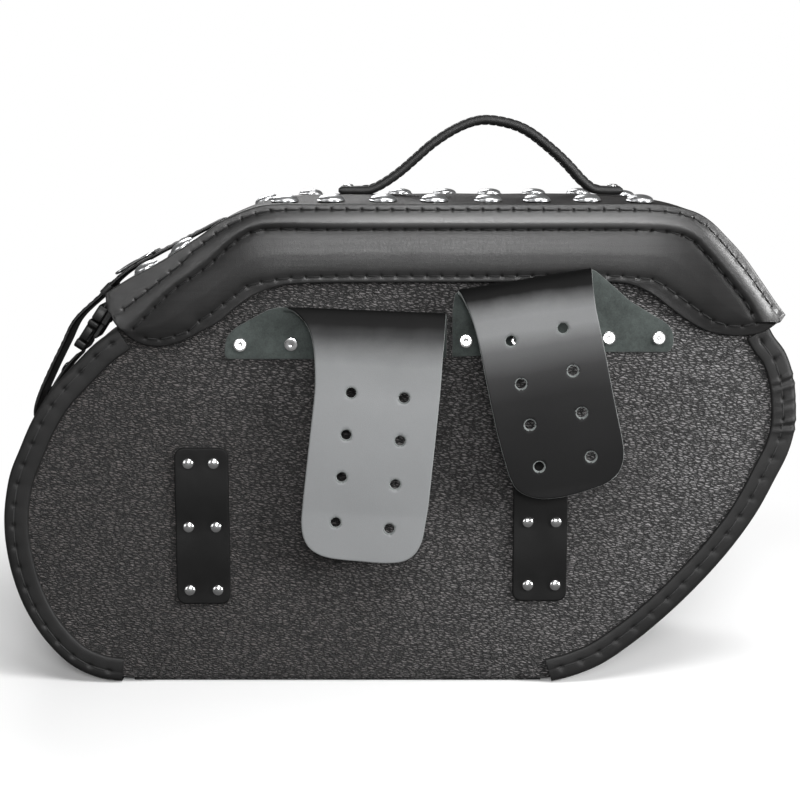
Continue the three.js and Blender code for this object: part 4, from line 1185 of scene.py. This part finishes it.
# ------------------------------------------------------------------ hanging straps
class Fold:
    """The fold a strap hangs from: a slanted top line, and the outer face's side profile.

    x, z and slope set the line; y is the depth of the crest. The face moves out by reach over
    the height drop and bows further below it; back is how far it curls over behind."""
    def __init__(self, x, z, slope, y, reach, drop, bow, back):
        self.x, self.z, self.slope, self.y = x, z, slope, y
        self.down = np.r_[np.linspace(0, 1, 60) ** 2 * 6, np.linspace(6, 220, 430)[1:]]
        turn = 1 - (1 - np.minimum(self.down, drop) / drop) ** 2
        bowed = np.sin(np.pi * np.clip((self.down - drop) / 110, 0, 1))
        self.face_y = y - reach * np.sqrt(np.maximum(turn, 0)) - bow * bowed
        behind = np.linspace(1, 0, 30)[:-1] ** 2 * 5.0
        turn = 1 - (1 - np.minimum(behind, 4.0) / 4.0) ** 2
        behind_y = y + back * np.sqrt(np.maximum(turn, 0))
        self.profile = np.vstack([np.stack([behind_y, -behind], axis=1),
                                  np.stack([self.face_y, -self.down], axis=1)])
        along = arc_length(self.profile)
        self.along = along - along[len(behind)]
        self.face_along = self.along[len(behind):]
        self.normal = right_normals(self.profile)

    def line(self, x):
        return self.z + self.slope * (x - self.x)

    def unroll(self, points):
        """Flattens hanging X-Z points: Z becomes the line's height less the length along."""
        points = np.asarray(points, float)
        down = np.maximum(self.line(points[:, 0]) - points[:, 1], 0)
        length = np.interp(down, self.down, self.face_along)
        return np.stack([points[:, 0], self.line(points[:, 0]) - length], axis=1)

    def place(self, points, offset):
        """Bends flat points over the fold, offset outwards from the outer face."""
        along = self.line(points[:, 0]) - points[:, 1]
        y, z = sample(self.profile, self.along, along).T
        normal_y, normal_z = sample(self.normal, self.along, along).T
        top = self.line(points[:, 0])
        return np.stack([points[:, 0], y + normal_y * offset, top + z + normal_z * offset], axis=1)


LEFT_FOLD = Fold(x=-24.4, z=244.9, slope=-0.0417, y=-93.5, reach=8.5, drop=19.0, bow=2.5, back=2.6)
RIGHT_FOLD = Fold(x=77.0, z=264.3, slope=0.1652, y=-95.5, reach=12.5, drop=24.0, bow=2.0, back=2.8)
# Strap outlines from the fold's left end, down and back up to its right end: X, Z
LEFT_STRAP = [
    [-72.9, 246.9], [-66.6, 245.1], [-60.2, 239.2], [-56.1, 232], [-53.8, 222], [-53.0, 209],
    [-53.1, 196], [-56.0, 170], [-58.9, 145], [-61.6, 121], [-62.4, 109.2], [-61.0, 100.3],
    [-57.1, 93.6], [-48.4, 88.4], [-25.1, 85.2], [-6.2, 84.2], [3.2, 85.8], [9.8, 90.6],
    [13.9, 98.6], [15.8, 108], [17.8, 121], [20.3, 145], [22.8, 170], [25.3, 196],
    [26.6, 214.7], [27.7, 228.1], [28.8, 242.3]]
LEFT_HOLES = [[-30.5, 193.9], [2.5, 190.7], [-33.7, 167.4], [0, 163.6], [-36.7, 140.2],
              [-3.1, 135.4], [-40.7, 110.7], [-6.8, 106.6]]
RIGHT_STRAP = [
    [36.1, 257.1], [40, 250.6], [43.6, 242.1], [46.4, 233.4], [49.2, 222.4], [52.4, 206.3],
    [56.6, 186], [61.2, 166], [65.6, 150.5], [68.9, 140.3], [73.4, 132.8], [81.2, 128.6],
    [90.2, 127.2], [101.7, 128.4], [118.9, 133.2], [130.2, 137.9], [136.2, 143.3],
    [139.0, 150.4], [139.5, 157.8], [138.2, 166], [133.8, 185.8], [129.4, 206.4],
    [125.4, 225.8], [122.2, 239.8], [119.9, 251.3], [118.7, 262.3], [118.7, 270.6]]
RIGHT_HOLES = [[68.4, 227], [100.3, 235], [74.8, 200.4], [106.8, 208.5], [80.7, 174.7],
               [112.8, 182.3], [86.9, 147.9], [119.1, 154.4]]
HANG_THICK, HANG_HOLE_RADIUS = 2.3, 3.2


def hanging_strap(node, fold, outline, holes, mat, slot):
    flat = smooth_path(fold.unroll(outline), 1.8)
    ends = flat[-1, 0], flat[0, 0]
    over = np.array([[x, fold.line(x) + 4.2] for x in ends])   # carried over behind the fold
    join = resample(np.vstack([flat[-1:], over, flat[:1]]), 1.8)[1:-1]

    def place(points, height):
        along = fold.line(points[:, 0]) - points[:, 1]
        cup = 0.35 * np.sin(points[:, 0] / 15 + along / 23) * np.clip(along / 30, 0, 1)
        return fold.place(points, height - HANG_THICK + cup)

    ob = sheet(node + "_leather", np.vstack([flat, join]), 2.1, HANG_THICK,
               place, mat, lambda points, edge: 0.08 * wave(points, 11, 0.4), edge_radius=0.8,
               holes=[(x, z, HANG_HOLE_RADIUS) for x, z in fold.unroll(holes)],
               edge_rings=(0.25, 0.6, 1.1))
    mesh = ob.data
    mesh.materials.append(SUEDE)
    mesh.materials.append(CUT_EDGE)
    centre = np.array([p.center for p in mesh.polygons]) / MM
    normal = np.array([p.normal for p in mesh.polygons])
    down = fold.line(centre[:, 0]) - centre[:, 2]
    face_y = np.interp(down, fold.down, fold.face_y)
    underside = (normal[:, 1] > 0.25) & (centre[:, 1] > face_y + 1.2)
    # near the fold the underside faces down, and behind it towards the back
    underside |= (down < 16) & (normal[:, 2] < -0.25) & (centre[:, 1] > face_y + 0.8)
    underside |= ((down < 9) & (down > 0.4) & (centre[:, 1] > fold.y - 1.5)
                  & (normal[:, 1] < 0.2) & (normal[:, 2] < 0.2))
    cut = np.abs(normal[:, 0]) + np.abs(normal[:, 2]) * (down > 30) > 0.75
    index = np.where(underside, 1, np.where(cut, 2, 0))
    mesh.polygons.foreach_set("material_index", index.astype(np.int32))
    places = vertex_places(mesh)
    set_attribute(mesh, "drop", fold.line(places[:, 0]) - places[:, 2])
    mesh.update()
    bend = ("root", node, (0, (fold.y + 1.6) * MM, fold.z * MM),
            (0, (fold.y - 3.2) * MM, fold.z * MM))
    attach(ob, bend, slot, node)


# both straps are one black leather; the grey and dark materials differ only by painted light
hanging_strap("mount_strap_left", LEFT_FOLD, LEFT_STRAP, LEFT_HOLES,
              LEFT_STRAP_PAINTED_LIGHT, "strap_leather_grey")
hanging_strap("mount_strap_right", RIGHT_FOLD, RIGHT_STRAP, RIGHT_HOLES,
              RIGHT_STRAP_PAINTED_LIGHT, "strap_leather_dark")

# ------------------------------------------------------------------ strap bases and loop plates
# Outlines and rivet places: X, Z
LEFT_BASE = [[-110.8, 212.9], [29.5, 212.9], [29.5, 242.0], [-24.4, 244.3], [-60, 245.6],
             [-75.4, 246.2], [-82.7, 244.3], [-93.2, 238.6], [-103.7, 232.8], [-109, 227.6],
             [-110.6, 221.3]]
RIGHT_BASE = [[33, 214.1], [33, 214.3], [129.4, 217.3], [170.1, 217.3], [172.6, 222.5],
              [171.8, 230.9], [167.5, 236.1], [160.1, 240.3], [144.3, 249.7], [133.8, 259],
              [125.9, 265.6], [120.1, 270.4], [77, 263.2], [37, 256.4], [34.3, 254.9],
              [32.8, 244.5]]
BASE_RIVETS = {"left": [[-100.8, 221.9], [-68.7, 222.4], [-18, 222.5], [14, 222.5]],
               "right": [[41.6, 224.4], [73.7, 225.1], [131.6, 226.3], [163.1, 226.3]]}
# how far each base rivet's head is tilted
RIVET_TILTS = {"left": [0.72, -0.2, 0.9, 0.9], "right": [0.6, 1.0, 1.0, 1.0]}
PLATE_RIVETS = {"left": [[-135.2, 145.8], [-119, 145.8], [-135.6, 104.3], [-118.1, 104.3],
                         [-135.6, 62.6], [-117.5, 62.6]],
                "right": [[81.6, 148.7], [99.4, 148.7], [82, 107.6], [100, 107.6],
                          [82.4, 65.9], [100, 65.9]]}


def rivet_dents(points, rivets, depth, radius):
    dents = np.zeros(len(points))
    for rivet_place in rivets:
        away = hole_distance(points, rivet_place)
        dents = np.maximum(dents, depth * np.exp(-(away / radius) ** 2))
    return dents


def strap_base(side, outline, fold, lift, reach, x_from, x_to):
    """Suede base riveted to the panel below, leaning out by lift to the fold above.

    The lean starts at reach below the fold and fades out beyond x_from and x_to."""
    def place(points, height):
        x = points[:, 0]
        share = np.clip((x - x_from + 10) / 20, 0, 1) * np.clip((x_to + 10 - x) / 20, 0, 1)
        down = np.maximum(fold.line(x) - points[:, 1], 0)
        lean = lift * np.clip(1 - down / reach, 0, 1) ** 1.3 * share
        return at_depth(points, BACK - 0.3 - height - lean)

    def relief(points, edge):
        return 0.25 * wave(points, 14, 0.6) - rivet_dents(points, BASE_RIVETS[side], 0.5, 7.0)

    node = "strap_base_" + side
    ob = sheet(node + "_suede", rounded(outline, 3), 2.4, 2.2, place, SUEDE, relief,
               edge_radius=0.6, edge_rings=(0.25, 0.6))
    attach(ob, "root", "flesh_side_leather", node)


def rivet(kind, side, number, place, head, normal=(0, -1.0, 0)):
    """A shank with a head given by its (radius, height) profile."""
    shank = [(0, -6.0), (1.6, -6.0), (1.6, -0.2)]
    vertices, faces = lathe(shank + head, 32)
    ob = make_mesh(f"{kind}_rivet_{side}_head_{number}", stand(vertices, normal, place), faces,
                   NICKEL, 35)
    attach(ob, "root", "chrome", f"{kind}_rivet_{side}_{number}")


def flat_head(radius, height):
    return [(radius * 0.95, -0.2), (radius, 0.1), (radius * 0.99, 0.5),
            (radius * 0.93, height * 0.86), (radius * 0.8, height), (radius * 0.3, height + 0.04),
            (radius * 0.2, height - 0.12), (0, height - 0.16)]


def domed_head(radius, height):
    rim = [(radius * 0.96, -0.2), (radius, 0.1)]
    return rim + dome_profile(radius, 0.1, height, 0.1, 8)


def base_rivets(side):
    for i, ((x, z), tilt) in enumerate(zip(BASE_RIVETS[side], RIVET_TILTS[side])):
        # a full tilt halves the angle between x = 0, 980 mm out, and x = 60, 1410 mm out
        normal = (-(x / 980 + (x - 60) / 1410) / 2 * tilt, -1.0, 0.2 * tilt)
        rivet("base", side, i + 1, (x, BACK - 2.4, z), flat_head(4.4, 1.2), normal)


def loop_plate(side, x0, x1, z0, z1):
    """Riveted upright plate that bows out between its rows of rivets."""
    rivets = PLATE_RIVETS[side]
    rows = sorted({z for _, z in rivets})

    def place(points, height):
        bow = np.zeros(len(points))
        for low, high in zip(rows[:-1], rows[1:]):
            t = np.clip((points[:, 1] - low) / (high - low), 0, 1)
            bow += 0.8 * np.sin(np.pi * t) ** 2
        return at_depth(points, BACK - 0.3 - height - bow)

    def relief(points, edge):
        return -rivet_dents(points, rivets, 0.6, 5.5) + 0.1 * wave(points, 9, 1.2)

    node = "loop_plate_" + side
    outline = rounded([[x0, z0], [x1, z0], [x1, z1], [x0, z1]], 6.5, 7)
    ob = sheet(node + "_leather", outline, 2.2, 2.4, place, PLATE_LEATHER, relief)
    attach(ob, "root", "smooth_leather", node)
    for i, (x, z) in enumerate(rivets):
        rivet("plate", side, i + 1, (x, BACK - 2.5, z), domed_head(3.7, 2.0))


def panel_seam():
    """Short upright row of stitches between the two bases."""
    z = np.arange(213.5, 244.5, 4.6)
    points = np.stack([np.full(len(z), 31.0), np.full(len(z), BACK - 0.35), z], axis=1)
    stitches("panel_seam_stitches", "root", points, 4.6, radius=0.55, lift=0.45, sink=0.5,
             thread=BINDING_THREAD)


strap_base("left", LEFT_BASE, LEFT_FOLD, lift=5.4, reach=22.0, x_from=-78, x_to=60)
strap_base("right", RIGHT_BASE, RIGHT_FOLD, lift=8.0, reach=36.0, x_from=-20, x_to=136)
panel_seam()
base_rivets("left")
base_rivets("right")
loop_plate("left", x0=-144, x1=-109.4, z0=53.3, z1=155.9)
loop_plate("right", x0=72.5, x1=107.4, z0=55.3, z1=157.8)


# ------------------------------------------------------------------ strips across the bag
def strip(name, path, width, thick, mat, edge, bulge=0.0, tip=0.0, tip_least=0.8):
    """A strip lying across Y whose mid line follows an X-Z path.

    edge is the edges' radius. A rounded tip, tip long, ends the path, and narrows to
    tip_least either side of the middle."""
    normal = -right_normals(path)[:, None]
    along = arc_length(path)
    half = np.full(len(path), width / 2)
    if tip:
        left = np.minimum(along[-1] - along, tip)
        half = np.maximum(half * np.sqrt(1 - ((tip - left) / tip) ** 2), tip_least)
    half = half[:, None]
    across = np.linspace(-1, 1, 15)
    y = half * np.sign(across) * np.abs(across) ** 0.8
    height = (thick / 2 - edge + quarter_round(half - np.abs(y), edge)
              + bulge * (1 - across ** 2))
    from_end = np.minimum(along, along[-1] - along)[:, None]
    height = height - (edge - quarter_round(from_end, edge)) * 0.8
    offset = normal * np.maximum(height, 0.2)[..., None]
    rings = [at_depth(path[:, None] + offset, y), at_depth(path[:, None] - offset, y)[:, ::-1]]
    return ring_solid(name, np.concatenate(rings, axis=1), mat, 50)


# ------------------------------------------------------------------ handle
HANDLE_Z = float(lid_line_z(40) + rise(0))
# mid line of the handle, left to right: X, height above HANDLE_Z
HANDLE_LINE = np.array([
    [-41.2, 2.7], [-36, 2.7], [-28, 2.7], [-20, 3.1], [-11, 7.4], [0, 15.0], [11, 24.4],
    [22.2, 34.0], [39.6, 44.7], [54, 49.3], [68.4, 48.2], [83.9, 43.1], [103, 29.0],
    [114, 18.6], [122.5, 9.4], [130, 3.7], [138, 2.7], [149.3, 2.7]])
HANDLE_BEND = ("lid", "handle", (0.05, 0, (HANDLE_Z + 4.5) * MM), (0.05, 0, (HANDLE_Z + 18) * MM))


def handle():
    path = smooth_path(HANDLE_LINE + np.array([0, HANDLE_Z]), 2.0)
    ob = strip("handle_strap_leather", path, 20.5, 5.3, HANDLE_LEATHER, edge=2.0, bulge=0.3)
    attach(ob, HANDLE_BEND, "smooth_leather", "handle", "handle_end_left", "handle_end_right")
    core = resample(path, 5.2)[3:-3]
    normals = -right_normals(core)
    t = np.linspace(0.08, 0.92, 7)
    for side, y in (("near", -7.2), ("far", 7.2)):
        parts = Parts()
        for face in (1, -1):
            surface = core + normals * 2.75 * face
            arch = (0.3 * np.sin(np.pi * t) ** 0.5 - 0.1) * face
            for start, end, normal in zip(surface, surface[1:], normals):
                line = start + (end - start) * t[:, None] + normal * arch[:, None]
                parts.add(*tube(at_depth(line, y), 0.3, 6, at_depth(normal, 0)))
        attach(parts.make(f"handle_stitches_{side}", THREAD), HANDLE_BEND, "smooth_leather")
    for side, x in (("left", -35.0), ("right", 143.5)):
        vertices, faces = stud(radius=3.6, height=1.7, segments=28)
        vertices = stand(vertices, (0, 0, 1), (x, 0, HANDLE_Z + 5.2))
        ob = make_mesh(f"handle_screw_{side}", vertices, faces, NICKEL, 35)
        attach(ob, "lid", "chrome")


handle()


# ------------------------------------------------------------------ buckles and keepers
def buckle(node, centre, along, out, width, height, body, wire, bow, prong, *prong_nodes):
    """A wire frame with a middle bar, and a prong from the bar over the frame.

    width runs across the strap; prong is its height off the bar, its arch and its radius."""
    across = np.cross(out, along)
    loop = rounded_rectangle(height, width, 5.0)
    path = (centre + loop[:, :1] * along + loop[:, 1:] * across
            + out * (bow * np.cos(loop[:, 1:] / width * 2.2)))
    parts = Parts()
    parts.add(*wire_loop(path, wire, out))
    bar = centre + np.linspace(-width / 2 + 0.5, width / 2 - 0.5, 12)[:, None] * across
    parts.add(*tube(bar, 1.1, 10, out))
    attach(parts.make(node + "_frame", CHROME, 40), body, "chrome", node)
    lift, arch, radius = prong
    t = np.linspace(0, 1, 14)
    path = (centre + (t[:, None] * (height / 2 + 1.5)) * along
            + out * (lift + arch * np.sin(np.pi * t) - 0.2 * t)[:, None])
    ob = make_mesh(node + "_prong", *tube(path, radius - 0.35 * t, 10, out), CHROME, 40)
    attach(ob, body, "chrome", *prong_nodes)


def keeper(name, centre, along, out, half_width, half_gap, thick, body, length=8.0):
    """A closed leather band round a strap."""
    across = np.cross(out, along)
    inner = rounded_rectangle(2 * half_width, 2 * half_gap, 1.0, 5)
    outer = rounded_rectangle(2 * (half_width + thick), 2 * (half_gap + thick), 2.0, 5)
    middle = (inner + outer) / 2
    half = length / 2
    rings = []
    for station in (-half, -half + 0.5, 0, half - 0.5, half):
        shrink = 0.85 if abs(station) == half else 1.0
        for loop in (inner, middle + (outer - middle) * shrink):
            rings.append(centre + along * station + loop[:, :1] * across + loop[:, 1:] * out)
    count = len(inner)
    last = (len(rings) - 2) * count
    faces = []
    for a in range(0, last, 2 * count):
        b = a + 2 * count
        for j in range(count):
            k = (j + 1) % count
            faces.append((a + j, b + j, b + k, a + k))
            faces.append((a + count + j, a + count + k, b + count + k, b + count + j))
    for a in (0, last):
        for j in range(count):
            k = (j + 1) % count
            faces.append((a + j, a + k, a + count + k, a + count + j))
    attach(make_mesh(name, np.vstack(rings), faces, LEATHER, 50), body, "smooth_leather")


# ------------------------------------------------------------------ left end closure
# the strap down the left end: X, Z
CLOSURE_LINE = [[-118, 296.4], [-128, 291.2], [-146, 281.8], [-166, 271.6], [-186, 259.6],
                [-201.6, 244.8], [-218.8, 228.6], [-227.0, 213], [-237.0, 193.6],
                [-245.4, 174.8], [-249.0, 160.4]]


def closure():
    # the path runs down to the left, so outwards is to the right of travel
    path = shift(smooth_path(CLOSURE_LINE, 2.0), 1.3)
    ob = strip("closure_strap_leather", path, 30, 2.6, LEATHER, edge=0.9, tip=12.0)
    attach(ob, "closure_strap", "smooth_leather", "closure_strap")
    seam = resample(path, 5.5)[3:-4]
    out = right_normals(seam)
    for side, y in (("rear", -12.3), ("front", 12.3)):
        stitches("closure_stitches_" + side, "closure_strap", at_depth(seam + out * 1.2, y), 5.5,
                 radius=0.3, lift=0.1, sink=0.35, out=at_depth(out, 0))

    def directions(index):
        """Unit vectors along the strap and out of it."""
        along = unit(path[index + 1] - path[index - 1])
        return at_depth(along, 0), at_depth(np.array([along[1], -along[0]]), 0)

    buckle_index = int(np.argmin(np.abs(path[:, 0] + 177)))
    keeper_index = buckle_index + 13
    along, out = directions(buckle_index)
    buckle("closure_buckle", at_depth(path[buckle_index], 0) + out * 2.1, along, out, 33.6, 29,
           "closure_strap", 1.15, 0.0, (0.6, 0.4, 1.05), "closure_prong")
    keeper("closure_keeper", at_depth(path[keeper_index], 0), *directions(keeper_index),
           half_width=15.3, half_gap=1.5, thick=0.9, body="closure_strap")


closure()

# ------------------------------------------------------------------ clip on the left end
CLIP_ORIGIN = np.array([-207.2, 227.2])
CLIP_ALONG = np.array([0.55, 0.835])
CLIP_OUT = np.array([-0.835, 0.55])
# outlines: distance along the clip, Y
SOCKET = [(-20, -13), (-18, -15), (-14, -15), (-13.4, -10.2), (-2.4, -10.2), (-1.8, -15), (2, -15),
          (2, 15), (-1.8, 15), (-2.4, 10.2), (-13.4, 10.2), (-14, 15), (-18, 15), (-20, 13)]
ARM = np.array([(-12.2, 15.8), (-7.5, 16.4), (-3.0, 15.8), (-3.0, 13.4), (-12.2, 13.4)])
PLUG = [(3.0, -14.4), (10, -14.4), (13.8, -12.6), (13.8, 12.6), (10, 14.4), (3.0, 14.4)]
SOCKET_RETURN = [(-8, -11.5), (-6.5, -12.5), (2.4, -12.5), (2.4, 12.5), (-6.5, 12.5), (-8, 11.5)]
PLUG_RETURN = [(3.2, -12.5), (13.5, -12.5), (15, -11.5), (15, 11.5), (13.5, 12.5), (3.2, 12.5)]


def clip_at(along, out):
    return CLIP_ORIGIN + CLIP_ALONG * along + CLIP_OUT * out


def moulded(name, outline, low, high, body, *nodes, mat=PLASTIC, bevel=1.2):
    """A bevelled block: the outline extruded between two heights out of the clip."""
    count = len(outline)
    vertices = [at_depth(clip_at(along, out), y) for out in (low, high) for along, y in outline]
    faces = [tuple(range(count))[::-1], tuple(range(count, 2 * count))]
    for i in range(count):
        k = (i + 1) % count
        faces.append((i, k, count + k, count + i))
    ob = make_mesh(name, vertices, faces, mat, 30)
    bm = bmesh.new()
    bm.from_mesh(ob.data)
    sharp = [e for e in bm.edges if len(e.link_faces) == 2 and e.calc_face_angle(0) > 0.5]
    bmesh.ops.bevel(bm, geom=sharp, offset=bevel * MM, segments=3, profile=0.6, affect="EDGES",
                    clamp_overlap=True)
    bm.to_mesh(ob.data)
    bm.free()
    shade_smooth(ob.data, 45)
    attach(ob, body, "black_plastic", *nodes)


def clip_webbing():
    line = np.array([clip_at(13.0, 0), clip_at(17.0, 0), [-195.1, 245.0], [-189.2, 252.1],
                     [-184.2, 256.1]])
    ob = strip("clip_webbing_woven", smooth_path(line, 1.0), 25, 1.9, WEBBING, edge=0.6)
    attach(ob, "lid", "webbing", "clip_webbing")


def clip_tab():
    """Riveted leather tab that lies on the left end below the clip."""
    over = shift(SHELL, 5.5)
    line = np.vstack([over[4] + (over[5] - over[4]) * 0.48, over[5:8]])
    path = shift(smooth_path(line, 1.5), 1.5)
    ob = strip("clip_tab_leather", path, 25, 2.2, LEATHER, edge=0.8, tip=8.0, tip_least=1.25)
    attach(ob, "root", "smooth_leather", "clip_tab")
    span = line[2] - line[1]
    along = unit(span)
    out = np.array([along[1], -along[0]])
    for i, share in enumerate((0.1, 0.92)):
        vertices, faces = stud(radius=4.4, height=2.0, segments=32)
        place = at_depth(line[1] + span * share + out * 2.7, 0)
        ob = make_mesh(f"tab_rivet_head_{i + 1}", stand(vertices, at_depth(out, 0), place), faces,
                       NICKEL, 35)
        attach(ob, "root", "chrome", f"tab_rivet_{i + 1}")


moulded("clip_socket_moulding", SOCKET, -3.9, 3.9, "root", "clip_socket")
for end, side in (("rear", -1), ("front", 1)):
    arm = "clip_arm_" + end
    moulded(arm + "_moulding", ARM * (1, side), -2.3, 2.3, arm, arm, bevel=0.6)
moulded("clip_plug_moulding", PLUG, -3.5, 3.5, "lid", "clip_plug")
moulded("clip_socket_webbing_return", SOCKET_RETURN, -6.6, -4.0, "root", mat=WEBBING, bevel=0.7)
moulded("clip_plug_webbing_return", PLUG_RETURN, -7.4, -3.6, "lid", mat=WEBBING, bevel=0.9)
clip_webbing()
clip_tab()


# ------------------------------------------------------------------ front straps
def front_strap(side, x):
    """A pointed strap down the front flap, with its buckle and keeper."""
    top, buckle_z, keeper_z = 296, 200, 178
    right = [(14, 131), (11.5, 124), (6, 118.4)]       # half of the rounded tip: X from middle, Z
    outline = ([(x - 14, top)] + [(x - dx, z) for dx, z in right] + [(x, 116.8)]
               + [(x + dx, z) for dx, z in right[::-1]] + [(x + 14, top)])

    def face_y(z):
        return FRONT + 6.6 + 0.6 * np.clip((buckle_z - z) / 60, -1, 1)

    def place(points, height):
        return at_depth(points, face_y(points[:, 1]) + height)

    node = "front_strap_" + side
    ob = sheet(node + "_leather", resample_closed(np.array(outline), 3.0), 3.0, 2.6, place,
               LEATHER, lambda points, edge: 0.1 * wave(points, 9, 0.5),
               holes=[(x, z, 1.9) for z in (172, 158, 144, 130)])
    attach(ob, "lid", "smooth_leather", node)
    z = np.arange(292, 132, -5.5)
    for row, offset in (("a", -11.4), ("b", 11.4)):
        points = np.stack([np.full(len(z), x + offset), face_y(z) + 2.4, z], axis=1)
        stitches(f"{node}_stitches_{row}", "lid", points, 5.5,
                 radius=0.36, lift=0.4, sink=0.3, out=(0, 1, 0))
    down, out = np.array([0, 0, -1.0]), np.array([0, 1.0, 0])
    buckle("front_buckle_" + side, np.array([x, FRONT + 10.5, buckle_z]), down, out, 40, 27,
           "lid", 1.9, 0.5, (1.2, 0.9, 1.25))
    keeper("front_keeper_" + side, np.array([x, FRONT + 8.0, keeper_z]), down, out,
           half_width=14.6, half_gap=1.6, thick=1.3, body="lid")


front_strap("left", -75.0)
front_strap("right", 105.0)

# pieces of the frame that still show
for name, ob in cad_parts.items():
    if not ob.hide_render:
        ob.data.materials.clear()
        ob.data.materials.append(BOARD if "stiffener" in name else LEATHER)


# ------------------------------------------------------------------ stage, in metres
def floor_material():
    """Darker to light bounces than to the camera, and fading to plain white away from the bag."""
    s = Shader("studio_floor")
    mottle = s.noise(scale=3.0, detail=3.0)
    to_camera = s.add("LightPath").outputs["Is Camera Ray"]
    s.surface(s.mix(to_camera, 0.13, s.mix(mottle, 0.86, 0.9)), 0.7, specular=0.0)
    position = s.add("NewGeometry").outputs["Position"]
    away = s.add("VectorMath", {0: position}, operation="LENGTH").outputs["Value"]
    fade_start, fade_end = 0.3, 0.62
    fade = s.add("MapRange", {0: away, 1: fade_start, 2: fade_end},
                 interpolation_type="SMOOTHSTEP").outputs[0]
    white = s.add("Emission", {"Color": 1.0, "Strength": 1.0}).outputs[0]
    lit = s.principled.outputs[0]
    shown = s.add("MixShader", {0: s.times(fade, to_camera), 1: lit, 2: white})
    s.feed(s.output.inputs[0], shown.outputs[0])
    return s.material


def floor():
    mat = floor_material()
    half, z = 12, -0.0002
    mesh = bpy.data.meshes.new("floor")
    corners = [(-half, -half, z), (half, -half, z), (half, half, z), (-half, half, z)]
    mesh.from_pydata(corners, [], [(0, 1, 2, 3)])
    mesh.materials.append(mat)
    ob = bpy.data.objects.new("floor", mesh)
    scene.collection.objects.link(ob)


def surround():
    """White to the camera, dim to the surfaces so that the soft lights shape them."""
    world = bpy.data.worlds.new("studio")
    scene.world = world
    world.use_nodes = True
    nodes = Nodes(world.node_tree)
    background = world.node_tree.nodes["Background"]
    nodes.feed(background.inputs[0], 1.0)
    rays = nodes.add("LightPath").outputs
    dim = nodes.rescale(rays["Is Glossy Ray"], 0.02, 0.1)
    nodes.feed(background.inputs[1], nodes.math("MAXIMUM", dim, rays["Is Camera Ray"]))


def area_light(name, place, target, size, size_y, power):
    light = bpy.data.lights.new(name, "AREA")
    light.energy = power
    light.shape = "RECTANGLE"
    light.size = size
    light.size_y = size_y
    ob = bpy.data.objects.new(name, light)
    scene.collection.objects.link(ob)
    ob.location = place
    ob.rotation_mode = "QUATERNION"
    ob.rotation_quaternion = (Vector(target) - Vector(place)).to_track_quat("-Z", "Y")
    ob.visible_camera = False


def camera():
    """Looks down a little at the back panel."""
    pitch, distance, aim_z = math.radians(8.9), 1000, 186.5
    data = bpy.data.cameras.new("camera")
    ob = bpy.data.objects.new("camera", data)
    scene.collection.objects.link(ob)
    ob.location = (0.0, (BACK - distance * math.cos(pitch)) * MM,
                   (aim_z + distance * math.sin(pitch)) * MM)
    ob.rotation_euler = (math.pi / 2 - pitch, 0, 0)
    data.sensor_width = 36
    data.lens = 70.875
    data.clip_start, data.clip_end = 0.05, 50
    scene.camera = ob


floor()
surround()
# name, place, target, size, height, watts
for light in (("front", (0.05, -1.5, 0.62), (0.03, -0.05, 0.2), 0.5, 0.35, 17),
              ("key", (0.35, -0.85, 1.5), (0.03, -0.05, 0.18), 1.1, 0.5, 14),
              ("side", (1.2, -0.62, 0.45), (0.12, -0.08, 0.12), 0.45, 0.45, 19),
              ("fill", (-1.5, -1.0, 0.6), (-0.05, 0, 0.15), 0.9, 0.9, 6),
              ("rim", (-0.4, 1.3, 1.3), (0, 0, 0.2), 0.9, 0.9, 12)):
    area_light(*light)
camera()
scene.view_settings.view_transform = "Standard"
